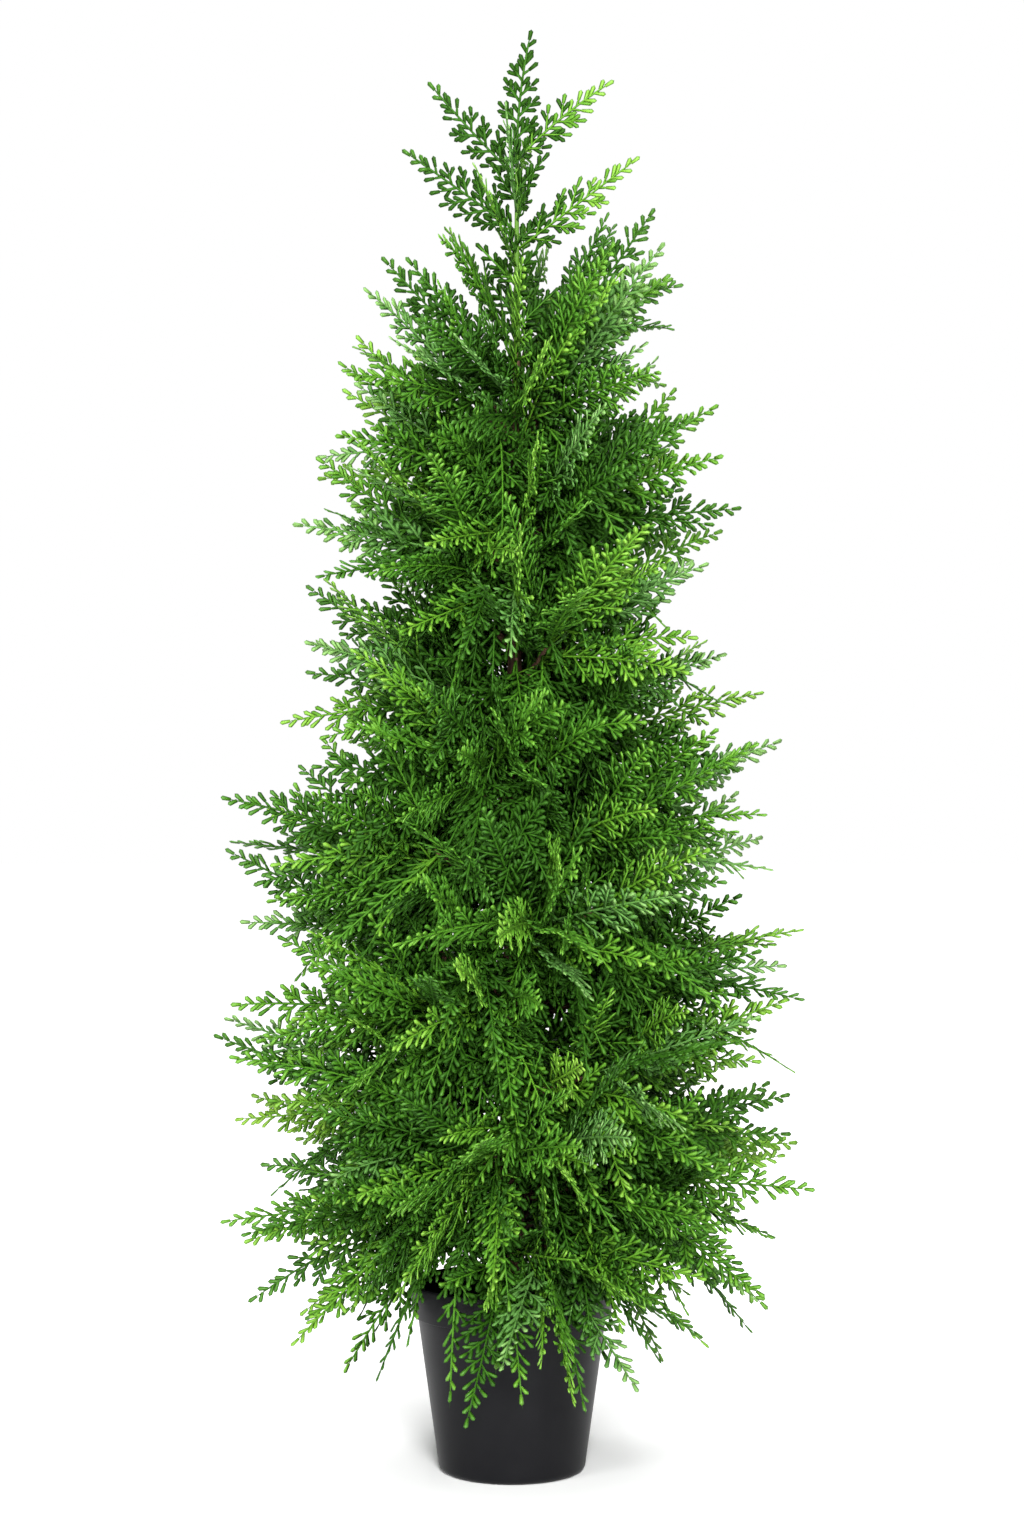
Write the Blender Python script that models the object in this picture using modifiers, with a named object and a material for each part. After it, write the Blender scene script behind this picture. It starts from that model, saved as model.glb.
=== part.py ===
"""Potted cypress: a straight trunk in a round pot, boughs in a spiral, and flat pointed sprays.

Units are metres, +Z is up, and the origin is the centre of the pot's flat underside.
The boughs leave the trunk one after another, each turned by the golden angle from the last.
Every bough carries one mass of foliage, and the trunk's tip carries the leader.
A mass is a stem with fronds, and a frond is an arching rib with pairs of pointed side sprays.
Each mass keeps to its own space: the points that are nearer to its centre than to any other
mass's centre, and inside the crown's profile. Two spaces meet at a flat side, so a frond whose
corners all lie on its own side of it lies there as a whole, and no mass touches another.
"""

import math
import random
from collections import namedtuple

import bmesh
import bpy
from mathutils import Matrix, Vector
from mathutils.bvhtree import BVHTree

# Overall sizes
HEIGHT = 1.200  # underside of the pot to the tip of the leader
TOUCH_GAP = 0.0003  # between pieces that rest on or grow from each other
GOLDEN_ANGLE = math.pi * (3 - math.sqrt(5))
SEAM_WELD = 0.0001  # corners nearer than this are one, at the seam of a turned body
CAP_WELD = 0.00001  # and at the flat end of a stem

# Pot
POT_HEIGHT = 0.156
POT_RIM_RADIUS = 0.085
POT_WALL = 0.0028
POT_FLOOR = 0.004
LIP_HEIGHT = 0.027  # the thicker band under the rim
LIP_STEP = 0.0042  # how far the lip stands out from the body
LIP_TAPER = 0.0022
POT_BASE_RADIUS = 0.0605
POT_FOOT_ROUND = 0.006
POT_FOOT_STEPS = 3
POT_SIDES = 36

# Soil
SOIL_DROP = 0.024  # rim to the soil at the wall
SOIL_RISE = 0.004  # the soil's middle above its edge
SOIL_FLAT_RADIUS = 0.026  # level ground that the trunk stands on
SOIL_SHOULDER = 0.7  # share of the rise that is left halfway to the wall

# Trunk
TRUNK_TOP = 0.930
TRUNK_RADIUS = 0.0100
TRUNK_TIP_RADIUS = 0.0036
FLARE_RADIUS = 0.0185
FLARE_HEIGHT = 0.045
TRUNK_LEAN = 0.004  # sideways shift of the tip, towards +X
LEAN_POWER = 1.5  # the shift grows by this power of the way up
FLARE_RINGS = (0.0, 0.09, 0.27, 0.58, 1.0)  # shares of the flare's height
TRUNK_RINGS = 9  # above the flare
TRUNK_ROUNDNESS = 3  # bevel resolution of the trunk, the boughs and the stems
BOUGH_ROUNDNESS = 1
STEM_ROUNDNESS = 0

# The crown's profile: the height of a frond's tip, its reach there, its slope there, and
# the height at which its bough leaves the trunk
PROFILE = (
    (0.065, 0.170, math.radians(-60), 0.175),
    (0.120, 0.222, math.radians(-42), 0.182),
    (0.200, 0.264, math.radians(-22), 0.215),
    (0.320, 0.264, math.radians(3), 0.268),
    (0.550, 0.262, math.radians(13), 0.440),
    (0.650, 0.210, math.radians(27), 0.520),
    (0.800, 0.188, math.radians(36), 0.655),
    (0.920, 0.168, math.radians(44), 0.770),
    (1.030, 0.132, math.radians(50), 0.865),
    (1.090, 0.116, math.radians(58), 0.915),
    (1.170, 0.080, math.radians(70), TRUNK_TOP),
    (HEIGHT, 0.050, math.radians(80), TRUNK_TOP),
)

# Boughs, and the stems that go on from them inside the masses
BOUGHS = 28
LOWEST_TIP = 0.125  # tip heights of the lowest and the highest mass
HIGHEST_TIP = 1.080
FIRST_TURN = math.radians(-66)  # azimuth of the lowest bough
CENTRE_SHARE = 0.62  # of a mass's reach, where its centre lies
BOUGH_RADIUS = 0.0036
BOUGH_TIP_RADIUS = 0.0025
BOUGH_SHARE = 0.42  # of the way from the trunk to the stem's end
BOUGH_POINTS = 3
SHORTEST_PATH = 0.030  # bough and stem together, measured outwards
STEM_RADIUS = 0.0024
STEM_TIP_RADIUS = 0.0015
STEM_START = 0.004  # bare stem after the bough's tip
STEM_END = 0.002  # from the outermost frond's root to the stem's end

# Fronds
FRONDS = 7  # on each mass
HANGING_FRONDS = 3  # more of them, on each mass that bends down over the pot
HANGING_SAG = 0.7  # the least sag of a bough whose mass has them
HANGING_SPREAD = math.radians(44)
HANGING_FAN = math.radians(48)  # turned about the stem, from one hanging frond to the next
HANGING_STEP = 0.2  # of the stem, from one hanging frond to the next
TRIES = 30  # fronds tried before a mass is left with fewer
FROND_LENGTH = 0.168
FROND_HALF_WIDTH = 0.028
LENGTHS = (0.92, 1.0)  # a frond's length by chance, as a share of FROND_LENGTH
WIDTHS = (0.88, 1.0)
ROLLS = (15, 85)  # degrees that a frond is turned about its own rib, to either side
ROOTS = (0.6, 1.0)  # how much of its way back along the stem a frond's root really goes
TURN_SWAY = 0.3  # radians by which a frond strays from the spiral, to either side
SPRAY_SPACING = 0.0290  # along the rib, from one pair of side sprays to the next
FROND_BARE = 0.15  # share of the rib with no side sprays
FROND_TIP = 0.10  # share of the rib past the last side sprays
SPREAD = (math.radians(20), math.radians(72))  # least and greatest angle from the stem
TIPS_APART = 0.045  # least distance between the tips of two fronds of one mass
SPRAY_ANGLE = math.radians(46)  # between a side spray and its rib
SPRAY_SWAY = 0.20  # how far a side spray tips out of the frond's plane, by its length
SPRAY_LENGTHS = (0.86, 1.0)
FIRST_SPRAYS = 0.70  # length of side sprays at the frond's root, as a share of the longest
SHORTENS_FROM = 0.46  # share of the rib after which side sprays get shorter
SHORTENING = 1.35
RIB_HALF_WIDTH = 0.0015
RIB_RIDGE = 0.0026
ROOT_SHARE = 0.6  # the rib's size at its root, inside the stem
RIB_TAPER = 0.6  # share of the rib's size that it loses by its tip
DROOP = (0.02, 0.10)  # how far a frond's tip bends down, by its length
SHRINK_STEP = 0.04  # taken off a frond's length until it fits
MOST_SHRINKS = 10  # after which the frond is skipped
SPACE_GAP = 0.0010  # from a frond to the side of its space
LIMB_GAP = 0.0012  # from a frond to a limb, the pot or the soil
GROUND_GAP = 0.062  # the lowest that a frond hangs
REACH_MARGIN = 0.010  # how far side sprays may stand past the profile's reach
NEARLY_UPRIGHT = 0.1  # sine of the angle from upright below which a frond's side is +Y's

# Leader
LEADER_STEM = 0.165
LEADER_STEM_RADIUS = 0.0032
LEADER_CENTRE = 1.050
LEADER_ROOT = 0.004  # the middle frond's root, below the stem's top
LEADER_FIRST = 0.004  # the first side frond's root, below the stem's top
LEADER_SPACING = 0.0150  # down the stem, from one side frond to the next
LEADER_SIDES = 9
LEADER_SPREAD = (math.radians(43), math.radians(62))
LEADER_TURN = math.radians(84)  # from one pair of side fronds to the next
LEADER_FACING = math.radians(90)  # the middle frond's flat side faces the front
LEADER_ROLL = 30  # degrees that a side frond strays from that, to either side
LEADER_FROND = 0.106
LEADER_HALF_WIDTH = 0.019
LEADER_LONGER = 0.35  # share by which the lowest side frond is longer, and wider
LEADER_WIDER = 0.4
LEADER_DROOP = 0.03

Mass = namedtuple("Mass", "name azimuth foot rise sag reach centre")
Frond = namedtuple("Frond", "root along normal length half_width droop seed")

COLOURS = {
    "pot": ((0.026, 0.026, 0.028), 0.45),
    "soil": ((0.035, 0.024, 0.016), 0.95),
    "bark": ((0.085, 0.045, 0.025), 0.85),
    "foliage": ((0.060, 0.190, 0.030), 0.55),
}


# ---------------------------------------------------------------- shared helpers


def clear_scene():
    for thing in list(bpy.data.objects):
        bpy.data.objects.remove(thing)


def make_materials():
    made = {}
    for name, (colour, roughness) in COLOURS.items():
        made[name] = bpy.data.materials.new(name)
        made[name].use_nodes = True
        shader = made[name].node_tree.nodes["Principled BSDF"]
        shader.inputs["Base Color"].default_value = (*colour, 1.0)
        shader.inputs["Roughness"].default_value = roughness
        shader.inputs["Metallic"].default_value = 0.0
    return made


def make_collection(name):
    made = bpy.data.collections.new(name)
    bpy.context.scene.collection.children.link(made)
    return made


def add_turned(name, profile, material, collection):
    """A body turned about Z from (radius, height) points that run down its outer side."""
    mesh = bpy.data.meshes.new(name)
    points = [(radius, 0.0, height) for radius, height in profile]
    mesh.from_pydata(points, [(i, i + 1) for i in range(len(points) - 1)], [])
    turned = bpy.data.objects.new(name, mesh)
    collection.objects.link(turned)
    mesh.materials.append(material)
    screw = turned.modifiers.new("Turn", "SCREW")
    screw.steps = POT_SIDES
    screw.render_steps = POT_SIDES
    screw.use_merge_vertices = True
    screw.merge_threshold = SEAM_WELD
    screw.use_smooth_shade = True
    return turned


def add_limb(name, points, radii, roundness, material, collection):
    """A tapering limb with flat ends: a poly curve with a round bevel."""
    curve = bpy.data.curves.new(name, "CURVE")
    curve.dimensions = "3D"
    curve.bevel_depth = 1.0
    curve.bevel_resolution = roundness
    curve.use_fill_caps = True
    spline = curve.splines.new("POLY")
    spline.points.add(len(points) - 1)
    for place, point, radius in zip(spline.points, points, radii):
        place.co = (*point, 1.0)
        place.radius = radius
    curve.materials.append(material)
    limb = bpy.data.objects.new(name, curve)
    collection.objects.link(limb)
    return limb


def as_mesh(curve_object):
    """The curve as a closed mesh object of the same name, with its caps welded."""
    graph = bpy.context.evaluated_depsgraph_get()
    mesh = bpy.data.meshes.new_from_object(curve_object.evaluated_get(graph))
    weld = bmesh.new()
    weld.from_mesh(mesh)
    bmesh.ops.remove_doubles(weld, verts=weld.verts, dist=CAP_WELD)
    weld.to_mesh(mesh)
    weld.free()
    name = curve_object.name
    place = curve_object.matrix_world.copy()
    collection = curve_object.users_collection[0]
    bpy.data.objects.remove(curve_object)
    made = bpy.data.objects.new(name, mesh)
    made.matrix_world = place
    collection.objects.link(made)
    return made


def outwards(azimuth):
    return Vector((math.cos(azimuth), math.sin(azimuth), 0.0))


# ---------------------------------------------------------------- pot, soil and trunk


def body_radius(height):
    """Outer radius of the pot's body below the lip, a straight taper."""
    top = POT_RIM_RADIUS - LIP_TAPER - LIP_STEP
    return POT_BASE_RADIUS + (top - POT_BASE_RADIUS) * height / (POT_HEIGHT - LIP_HEIGHT)


def pot_profile():
    lip_foot = POT_HEIGHT - LIP_HEIGHT
    rim_inner = POT_RIM_RADIUS - POT_WALL
    edge = POT_WALL / 3
    inside = [
        (0.0, POT_FLOOR),
        (body_radius(POT_FLOOR) - POT_WALL, POT_FLOOR),
        (body_radius(lip_foot) - POT_WALL, lip_foot),
        (rim_inner - LIP_TAPER, lip_foot + LIP_STEP),
        (rim_inner, POT_HEIGHT - edge),
        (rim_inner + edge, POT_HEIGHT),
    ]
    lip = [
        (POT_RIM_RADIUS - edge, POT_HEIGHT),
        (POT_RIM_RADIUS, POT_HEIGHT - edge),
        (POT_RIM_RADIUS - LIP_TAPER, lip_foot + edge),
        (POT_RIM_RADIUS - LIP_TAPER - edge, lip_foot),
        (body_radius(lip_foot), lip_foot),
    ]
    foot = []
    for step in range(POT_FOOT_STEPS + 1):
        angle = math.pi / 2 * step / POT_FOOT_STEPS
        out = POT_FOOT_ROUND * (1 - math.cos(angle))
        down = POT_FOOT_ROUND * (1 - math.sin(angle))
        foot.append((body_radius(down) - out, down))
    return inside + lip + foot + [(0.0, 0.0)]


def soil_top():
    return POT_HEIGHT - SOIL_DROP + SOIL_RISE


def soil_profile():
    edge = POT_HEIGHT - SOIL_DROP
    clear = POT_WALL + TOUCH_GAP
    lip_foot = POT_HEIGHT - LIP_HEIGHT
    floor = POT_FLOOR + TOUCH_GAP
    return [
        (0.0, soil_top()),
        (SOIL_FLAT_RADIUS, soil_top()),
        ((SOIL_FLAT_RADIUS + POT_BASE_RADIUS) / 2, edge + SOIL_RISE * SOIL_SHOULDER),
        (body_radius(lip_foot) - clear, edge),
        (body_radius(lip_foot) - clear, lip_foot),
        (body_radius(floor) - clear, floor),
        (0.0, floor),
    ]


def trunk_radius(height):
    """The trunk's radius: a straight taper, with the root flare added near the ground."""
    share = (height - soil_top()) / (TRUNK_TOP - soil_top())
    taper = TRUNK_RADIUS + (TRUNK_TIP_RADIUS - TRUNK_RADIUS) * share
    near = max(0.0, 1 - (height - soil_top()) / FLARE_HEIGHT)
    return taper + (FLARE_RADIUS - TRUNK_RADIUS) * near**2


def trunk_axis(height):
    """The middle of the trunk at a height: upright at the ground, then a slight lean."""
    share = max(0.0, (height - soil_top()) / (TRUNK_TOP - soil_top()))
    return Vector((TRUNK_LEAN * share**LEAN_POWER, 0.0, height))


def trunk_heights():
    """Heights of the trunk's rings, closest together in the flare."""
    flare = [soil_top() + TOUCH_GAP + FLARE_HEIGHT * share for share in FLARE_RINGS]
    above = TRUNK_TOP - flare[-1]
    return flare + [flare[-1] + above * (i + 1) / TRUNK_RINGS for i in range(TRUNK_RINGS)]


def add_trunk(material, collection):
    heights = trunk_heights()
    points = [trunk_axis(height) for height in heights]
    points[1].x = points[0].x  # the foot is cut level
    radii = [trunk_radius(height) for height in heights]
    return add_limb("trunk", points, radii, TRUNK_ROUNDNESS, material, collection)


# ---------------------------------------------------------------- the layout of the crown


def profile_at(height):
    """Reach, slope and foot for a tip at this height, between the profile's stations."""
    below = [row for row in PROFILE[:-1] if row[0] <= height]
    lower = below[-1] if below else PROFILE[0]
    upper = PROFILE[PROFILE.index(lower) + 1]
    share = min(1.0, max(0.0, (height - lower[0]) / (upper[0] - lower[0])))
    return tuple(low + (high - low) * share for low, high in zip(lower[1:], upper[1:]))


def path_height(mass, radius):
    """Height of a mass's bough and stem at a distance from the trunk: a rise that sags."""
    return mass.foot + mass.rise * radius - mass.sag * radius**2


def path_slope(mass, radius):
    return math.atan(mass.rise - 2 * mass.sag * radius)


def path_point(mass, radius):
    flat = outwards(mass.azimuth) * radius + trunk_axis(mass.foot)
    return Vector((flat.x, flat.y, path_height(mass, radius)))


def path_direction(mass, radius):
    slope = path_slope(mass, radius)
    return outwards(mass.azimuth) * math.cos(slope) + Vector((0, 0, math.sin(slope)))


def path_start(mass):
    return trunk_radius(mass.foot) + TOUCH_GAP


def path_end(mass):
    """Where the stem stops, so that the frond at its end just fills the mass's reach."""
    slope = path_slope(mass, mass.reach - FROND_LENGTH / 2)
    end = mass.reach - FROND_LENGTH * math.cos(slope)
    return max(end, path_start(mass) + SHORTEST_PATH)


def bough_end(mass):
    return path_start(mass) + (path_end(mass) - path_start(mass)) * BOUGH_SHARE


def lay_out_masses():
    """Masses from the lowest to the highest, each with an equal share of the crown's side.

    The step from one tip's height to the next is in proportion to 1 / reach. The rise and sag
    are those of the parabola from the foot to the tip that has the profile's slope at the tip.
    """
    step = (HIGHEST_TIP - LOWEST_TIP) / (BOUGHS - 1)
    middles = [LOWEST_TIP + step * (number + 0.5) for number in range(BOUGHS - 1)]
    mean_reach = sum(profile_at(height)[0] for height in middles) / len(middles)
    tip_height = LOWEST_TIP
    masses = []
    for number in range(BOUGHS):
        reach, slope, foot = profile_at(tip_height)
        mean_rise = (tip_height - foot) / reach
        rise = 2 * mean_rise - math.tan(slope)
        sag = (mean_rise - math.tan(slope)) / reach
        azimuth = FIRST_TURN + GOLDEN_ANGLE * number
        mass = Mass(f"{number + 1:02d}", azimuth, foot, rise, sag, reach, None)
        masses.append(mass._replace(centre=path_point(mass, reach * CENTRE_SHARE)))
        tip_height += step * mean_reach / reach
    top = Vector((0, 0, LEADER_CENTRE))
    masses.append(Mass("leader", 0.0, TRUNK_TOP, 0.0, 0.0, 0.0, top))
    return masses


def walls_of(own, masses):
    """The flat sides of a mass's space: a point halfway to each other centre, and the way."""
    others = [mass for mass in masses if mass is not own]
    return [
        ((own.centre + other.centre) / 2, (other.centre - own.centre).normalized())
        for other in others
    ]


def in_space(point, walls):
    reach = profile_at(point.z)[0] + REACH_MARGIN
    if point.z < GROUND_GAP or math.hypot(point.x, point.y) > reach:
        return False
    return all((point - middle).dot(way) < -SPACE_GAP for middle, way in walls)


# ---------------------------------------------------------------- fronds


def rib_point(frond, share):
    """A point on the frond's rib: straight ahead, and down by the square of the way."""
    ahead = frond.along * (frond.length * share)
    return frond.root + ahead - Vector((0, 0, frond.droop * frond.length * share**2))


def rib_frame(frond, share):
    """The rib's direction, sideways and outward vectors at a share of its length."""
    along = (frond.along - Vector((0, 0, 2 * frond.droop * share))).normalized()
    sideways = frond.normal.cross(along).normalized()
    return along, sideways, along.cross(sideways)


def spray_length(frond, share):
    """Side sprays are longest in the middle of the frond, and shorten towards its tip."""
    swell = min(FIRST_SPRAYS + share, 1.0, 1 - SHORTENING * (share - SHORTENS_FROM))
    return frond.half_width / math.sin(SPRAY_ANGLE) * swell


def rib_shares(frond):
    """The rib's stations: its root, then each end of the stretches that carry side sprays."""
    carrying = 1 - FROND_BARE - FROND_TIP
    pairs = round(frond.length * carrying / SPRAY_SPACING)
    return [0.0] + [FROND_BARE + carrying * i / pairs for i in range(pairs + 1)]


def frond_shell(frond):
    """Corners and faces of a frond: a three-sided rib, flat below, with pointed side sprays.

    Each station of the rib has a left, a right and a ridge corner. Between two stations each
    side spray is a low pyramid: its base is the rib's flank, and its point is the spray's tip.
    """
    draw = random.Random(frond.seed)
    shares = rib_shares(frond)
    corners = []
    for share in shares:
        along, sideways, outward = rib_frame(frond, share)
        size = ROOT_SHARE if share == 0.0 else 1 - RIB_TAPER * share
        middle = rib_point(frond, share)
        half = sideways * (RIB_HALF_WIDTH * size)
        corners += [middle - half, middle + half, middle + outward * (RIB_RIDGE * size)]
    faces = [(0, 1, 2), (0, 3, 4, 1), (0, 2, 5, 3), (1, 4, 5, 2)]
    for station in range(1, len(shares) - 1):
        share = (shares[station] + shares[station + 1]) / 2
        along, sideways, outward = rib_frame(frond, share)
        left, ridge = 3 * station, 3 * station + 2
        faces.append((left, left + 3, left + 4, left + 1))
        for side, edge in ((-1, left), (1, left + 1)):
            length = spray_length(frond, share) * draw.uniform(*SPRAY_LENGTHS)
            lean = along * math.cos(SPRAY_ANGLE) + sideways * (side * math.sin(SPRAY_ANGLE))
            sway = outward * draw.uniform(-SPRAY_SWAY, SPRAY_SWAY)
            tip = len(corners)
            corners.append(rib_point(frond, share) + (lean + sway) * length)
            faces += [(edge, tip, edge + 3), (edge, ridge, tip)]
            faces += [(ridge, ridge + 3, tip), (ridge + 3, edge + 3, tip)]
    last = 3 * (len(shares) - 1)
    end = len(corners)
    corners.append(rib_point(frond, 1.0))
    faces += [(last, end, last + 1), (last, last + 2, end), (last + 2, last + 1, end)]
    return corners, faces


def touches_limb(corners, faces, own, limbs):
    """Whether a frond meets or nearly meets a limb other than the stem that it grows from."""
    tree, owners = limbs
    shell = BVHTree.FromPolygons(corners, faces)
    near = [limb_face for _, limb_face in shell.overlap(tree)]
    for corner in corners:
        near += [found[2] for found in tree.find_nearest_range(corner, LIMB_GAP)]
    return any(owners[limb_face] != own.name for limb_face in near)


def fitted(frond, own, walls, limbs):
    """The longest version of a frond that stays in its space and clear of limbs, or None."""
    for number in range(MOST_SHRINKS + 1):
        share = 1 - SHRINK_STEP * number
        narrowed = frond.half_width * (1 + share) / 2
        tried = frond._replace(length=frond.length * share, half_width=narrowed)
        corners, faces = frond_shell(tried)
        past_root = corners[3:]
        if all(in_space(corner, walls) for corner in past_root):
            if not touches_limb(corners, faces, own, limbs):
                return tried
    return None


def make_frond(root, along, roll, length, half_width, droop, seed):
    """A frond whose flat side faces up before it is rolled about its own direction."""
    level_side = Vector((0, 0, 1)).cross(along)
    if level_side.length < NEARLY_UPRIGHT:
        level_side = Vector((1, 0, 0)).cross(along)
    upward = along.cross(level_side.normalized())
    normal = Matrix.Rotation(roll, 3, along) @ upward
    return Frond(root, along, normal, length, half_width, droop, seed)


def off_axis(axis, spread, turn):
    """A direction at the angle spread from an axis, turned about that axis from the top."""
    sideways = axis.cross(Vector((0, 0, 1))).normalized()
    return Matrix.Rotation(turn, 3, axis) @ (Matrix.Rotation(spread, 3, sideways) @ axis)


def tip_distance(one, other):
    return (rib_point(one, 1.0) - rib_point(other, 1.0)).length


def aims(own):
    """How far back on the stem each frond is tried, its angle from the stem and its turn.

    First one straight ahead, then the hanging ones, then a spiral that spreads ever wider.
    """
    found = [(0.0, 0.0, 0.0)]
    if own.sag > HANGING_SAG:
        for number in range(HANGING_FRONDS):
            turn = math.pi + HANGING_FAN * (number - (HANGING_FRONDS - 1) / 2)
            found.append((HANGING_STEP * (number + 1), HANGING_SPREAD, turn))
    for number in range(1, TRIES):
        spread = SPREAD[0] + (SPREAD[1] - SPREAD[0]) * (number / TRIES) ** 0.5
        found.append((min(1.0, number / (FRONDS - 1)), spread, GOLDEN_ANGLE * number))
    return found


def grow_fronds(own, masses, limbs):
    """Fronds that are aimed in turn, and kept where they fit, until there are enough."""
    draw = random.Random(f"mass {own.name}")
    walls = walls_of(own, masses)
    start, end = bough_end(own) + STEM_START, path_end(own) - STEM_END
    wanted_count = FRONDS + (HANGING_FRONDS if own.sag > HANGING_SAG else 0)
    fronds = []
    for number, (back, spread, turn) in enumerate(aims(own)):
        if len(fronds) == wanted_count:
            break
        radius = end - (end - start) * back * draw.uniform(*ROOTS)
        turn += draw.uniform(-TURN_SWAY, TURN_SWAY)
        along = off_axis(path_direction(own, radius), spread, turn)
        roll = math.radians(draw.uniform(*ROLLS)) * draw.choice((-1, 1))
        length = FROND_LENGTH * draw.uniform(*LENGTHS)
        half_width = FROND_HALF_WIDTH * draw.uniform(*WIDTHS)
        droop = draw.uniform(*DROOP)
        seed = f"frond {own.name} {number}"
        root = path_point(own, radius)
        wanted = make_frond(root, along, roll, length, half_width, droop, seed)
        grown = fitted(wanted, own, walls, limbs)
        if grown and all(tip_distance(grown, other) > TIPS_APART for other in fronds):
            fronds.append(grown)
    return fronds


def grow_leader_fronds(own, masses, limbs):
    """One frond up the middle, then side fronds in opposite pairs that turn down the stem."""
    draw = random.Random("leader")
    walls = walls_of(own, masses)
    foot = trunk_axis(TRUNK_TOP)
    up = Vector((0, 0, 1))
    top = TRUNK_TOP + LEADER_STEM
    root = Vector((foot.x, foot.y, top - LEADER_ROOT))
    ahead = HEIGHT - root.z
    middle = make_frond(root, up, LEADER_FACING, ahead, LEADER_HALF_WIDTH, 0.0, "leader top")
    fronds = [middle]
    for number in range(LEADER_SIDES):
        share = number / (LEADER_SIDES - 1)
        spread = LEADER_SPREAD[0] + (LEADER_SPREAD[1] - LEADER_SPREAD[0]) * share
        azimuth = math.pi * (number % 2) + LEADER_TURN * (number // 2)
        along = up * math.cos(spread) + outwards(azimuth) * math.sin(spread)
        root = Vector((foot.x, foot.y, top - LEADER_FIRST - LEADER_SPACING * number))
        roll = LEADER_FACING + math.radians(draw.uniform(-LEADER_ROLL, LEADER_ROLL))
        length = LEADER_FROND * (1 + LEADER_LONGER * share)
        half_width = LEADER_HALF_WIDTH * (1 + LEADER_WIDER * share)
        seed = f"leader {number}"
        wanted = make_frond(root, along, roll, length, half_width, LEADER_DROOP, seed)
        fronds.append(fitted(wanted, own, walls, limbs))
    return [frond for frond in fronds if frond]


# ---------------------------------------------------------------- boughs and masses


def add_bough(mass, material, collection):
    """A limb from the trunk's surface to where its mass begins, leaving the trunk level."""
    first, last = path_start(mass), bough_end(mass)
    collar = first + BOUGH_RADIUS
    radii_out = [first]
    radii_out += [collar + (last - collar) * i / (BOUGH_POINTS - 1) for i in range(BOUGH_POINTS)]
    points = [path_point(mass, radius) for radius in radii_out]
    points[0].z = points[1].z
    widths = [
        BOUGH_RADIUS + (BOUGH_TIP_RADIUS - BOUGH_RADIUS) * (radius - first) / (last - first)
        for radius in radii_out
    ]
    name = f"bough_{mass.name}"
    return add_limb(name, points, widths, BOUGH_ROUNDNESS, material, collection)


def add_stem(mass, material, collection):
    """The stem goes on from the bough's tip, 0.3 mm clear of it, along the same path."""
    start = bough_end(mass)
    begin = start + TOUCH_GAP * math.cos(path_slope(mass, start))
    middle = (begin + path_end(mass)) / 2
    points = [path_point(mass, radius) for radius in (begin, middle, path_end(mass))]
    widths = [STEM_RADIUS, (STEM_RADIUS + STEM_TIP_RADIUS) / 2, STEM_TIP_RADIUS]
    name = f"foliage_{mass.name}"
    return as_mesh(add_limb(name, points, widths, STEM_ROUNDNESS, material, collection))


def add_leader_stem(material, collection):
    end = trunk_axis(TRUNK_TOP)
    foot = TRUNK_TOP + TOUCH_GAP
    points = [Vector((end.x, end.y, foot + LEADER_STEM * i / 2)) for i in range(3)]
    widths = [LEADER_STEM_RADIUS, STEM_RADIUS, STEM_TIP_RADIUS]
    name = "foliage_leader"
    return as_mesh(add_limb(name, points, widths, STEM_ROUNDNESS, material, collection))


def limb_tree(limbs):
    """A search tree over the faces of every limb, and the owner of each face."""
    graph = bpy.context.evaluated_depsgraph_get()
    corners, faces, owners = [], [], []
    for limb, owner in limbs:
        shape = limb.evaluated_get(graph)
        mesh = shape.to_mesh()
        first = len(corners)
        corners += [vertex.co.copy() for vertex in mesh.vertices]
        faces += [[first + corner for corner in face.vertices] for face in mesh.polygons]
        owners += [owner] * len(mesh.polygons)
        shape.to_mesh_clear()
    return BVHTree.FromPolygons(corners, faces), owners


def add_frond(frond, collection):
    corners, faces = frond_shell(frond)
    mesh = bpy.data.meshes.new("frond")
    mesh.from_pydata(corners, [], faces)
    closed = bmesh.new()
    closed.from_mesh(mesh)
    bmesh.ops.triangulate(closed, faces=closed.faces)
    bmesh.ops.recalc_face_normals(closed, faces=closed.faces)
    closed.to_mesh(mesh)
    closed.free()
    collection.objects.link(bpy.data.objects.new("frond", mesh))


def join_mass(stem, fronds, material):
    """Fuses the fronds to their stem with one Boolean union, and applies it."""
    cluster = make_collection("fronds")
    for frond in fronds:
        add_frond(frond, cluster)
    union = stem.modifiers.new("Join", "BOOLEAN")
    union.operation = "UNION"
    union.operand_type = "COLLECTION"
    union.collection = cluster
    union.solver = "EXACT"
    graph = bpy.context.evaluated_depsgraph_get()
    joined = bpy.data.meshes.new_from_object(stem.evaluated_get(graph))
    stem.modifiers.clear()
    stem.data = joined
    stem.data.materials.clear()
    stem.data.materials.append(material)
    for piece in list(cluster.objects):
        bpy.data.objects.remove(piece)
    bpy.data.collections.remove(cluster)


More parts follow.
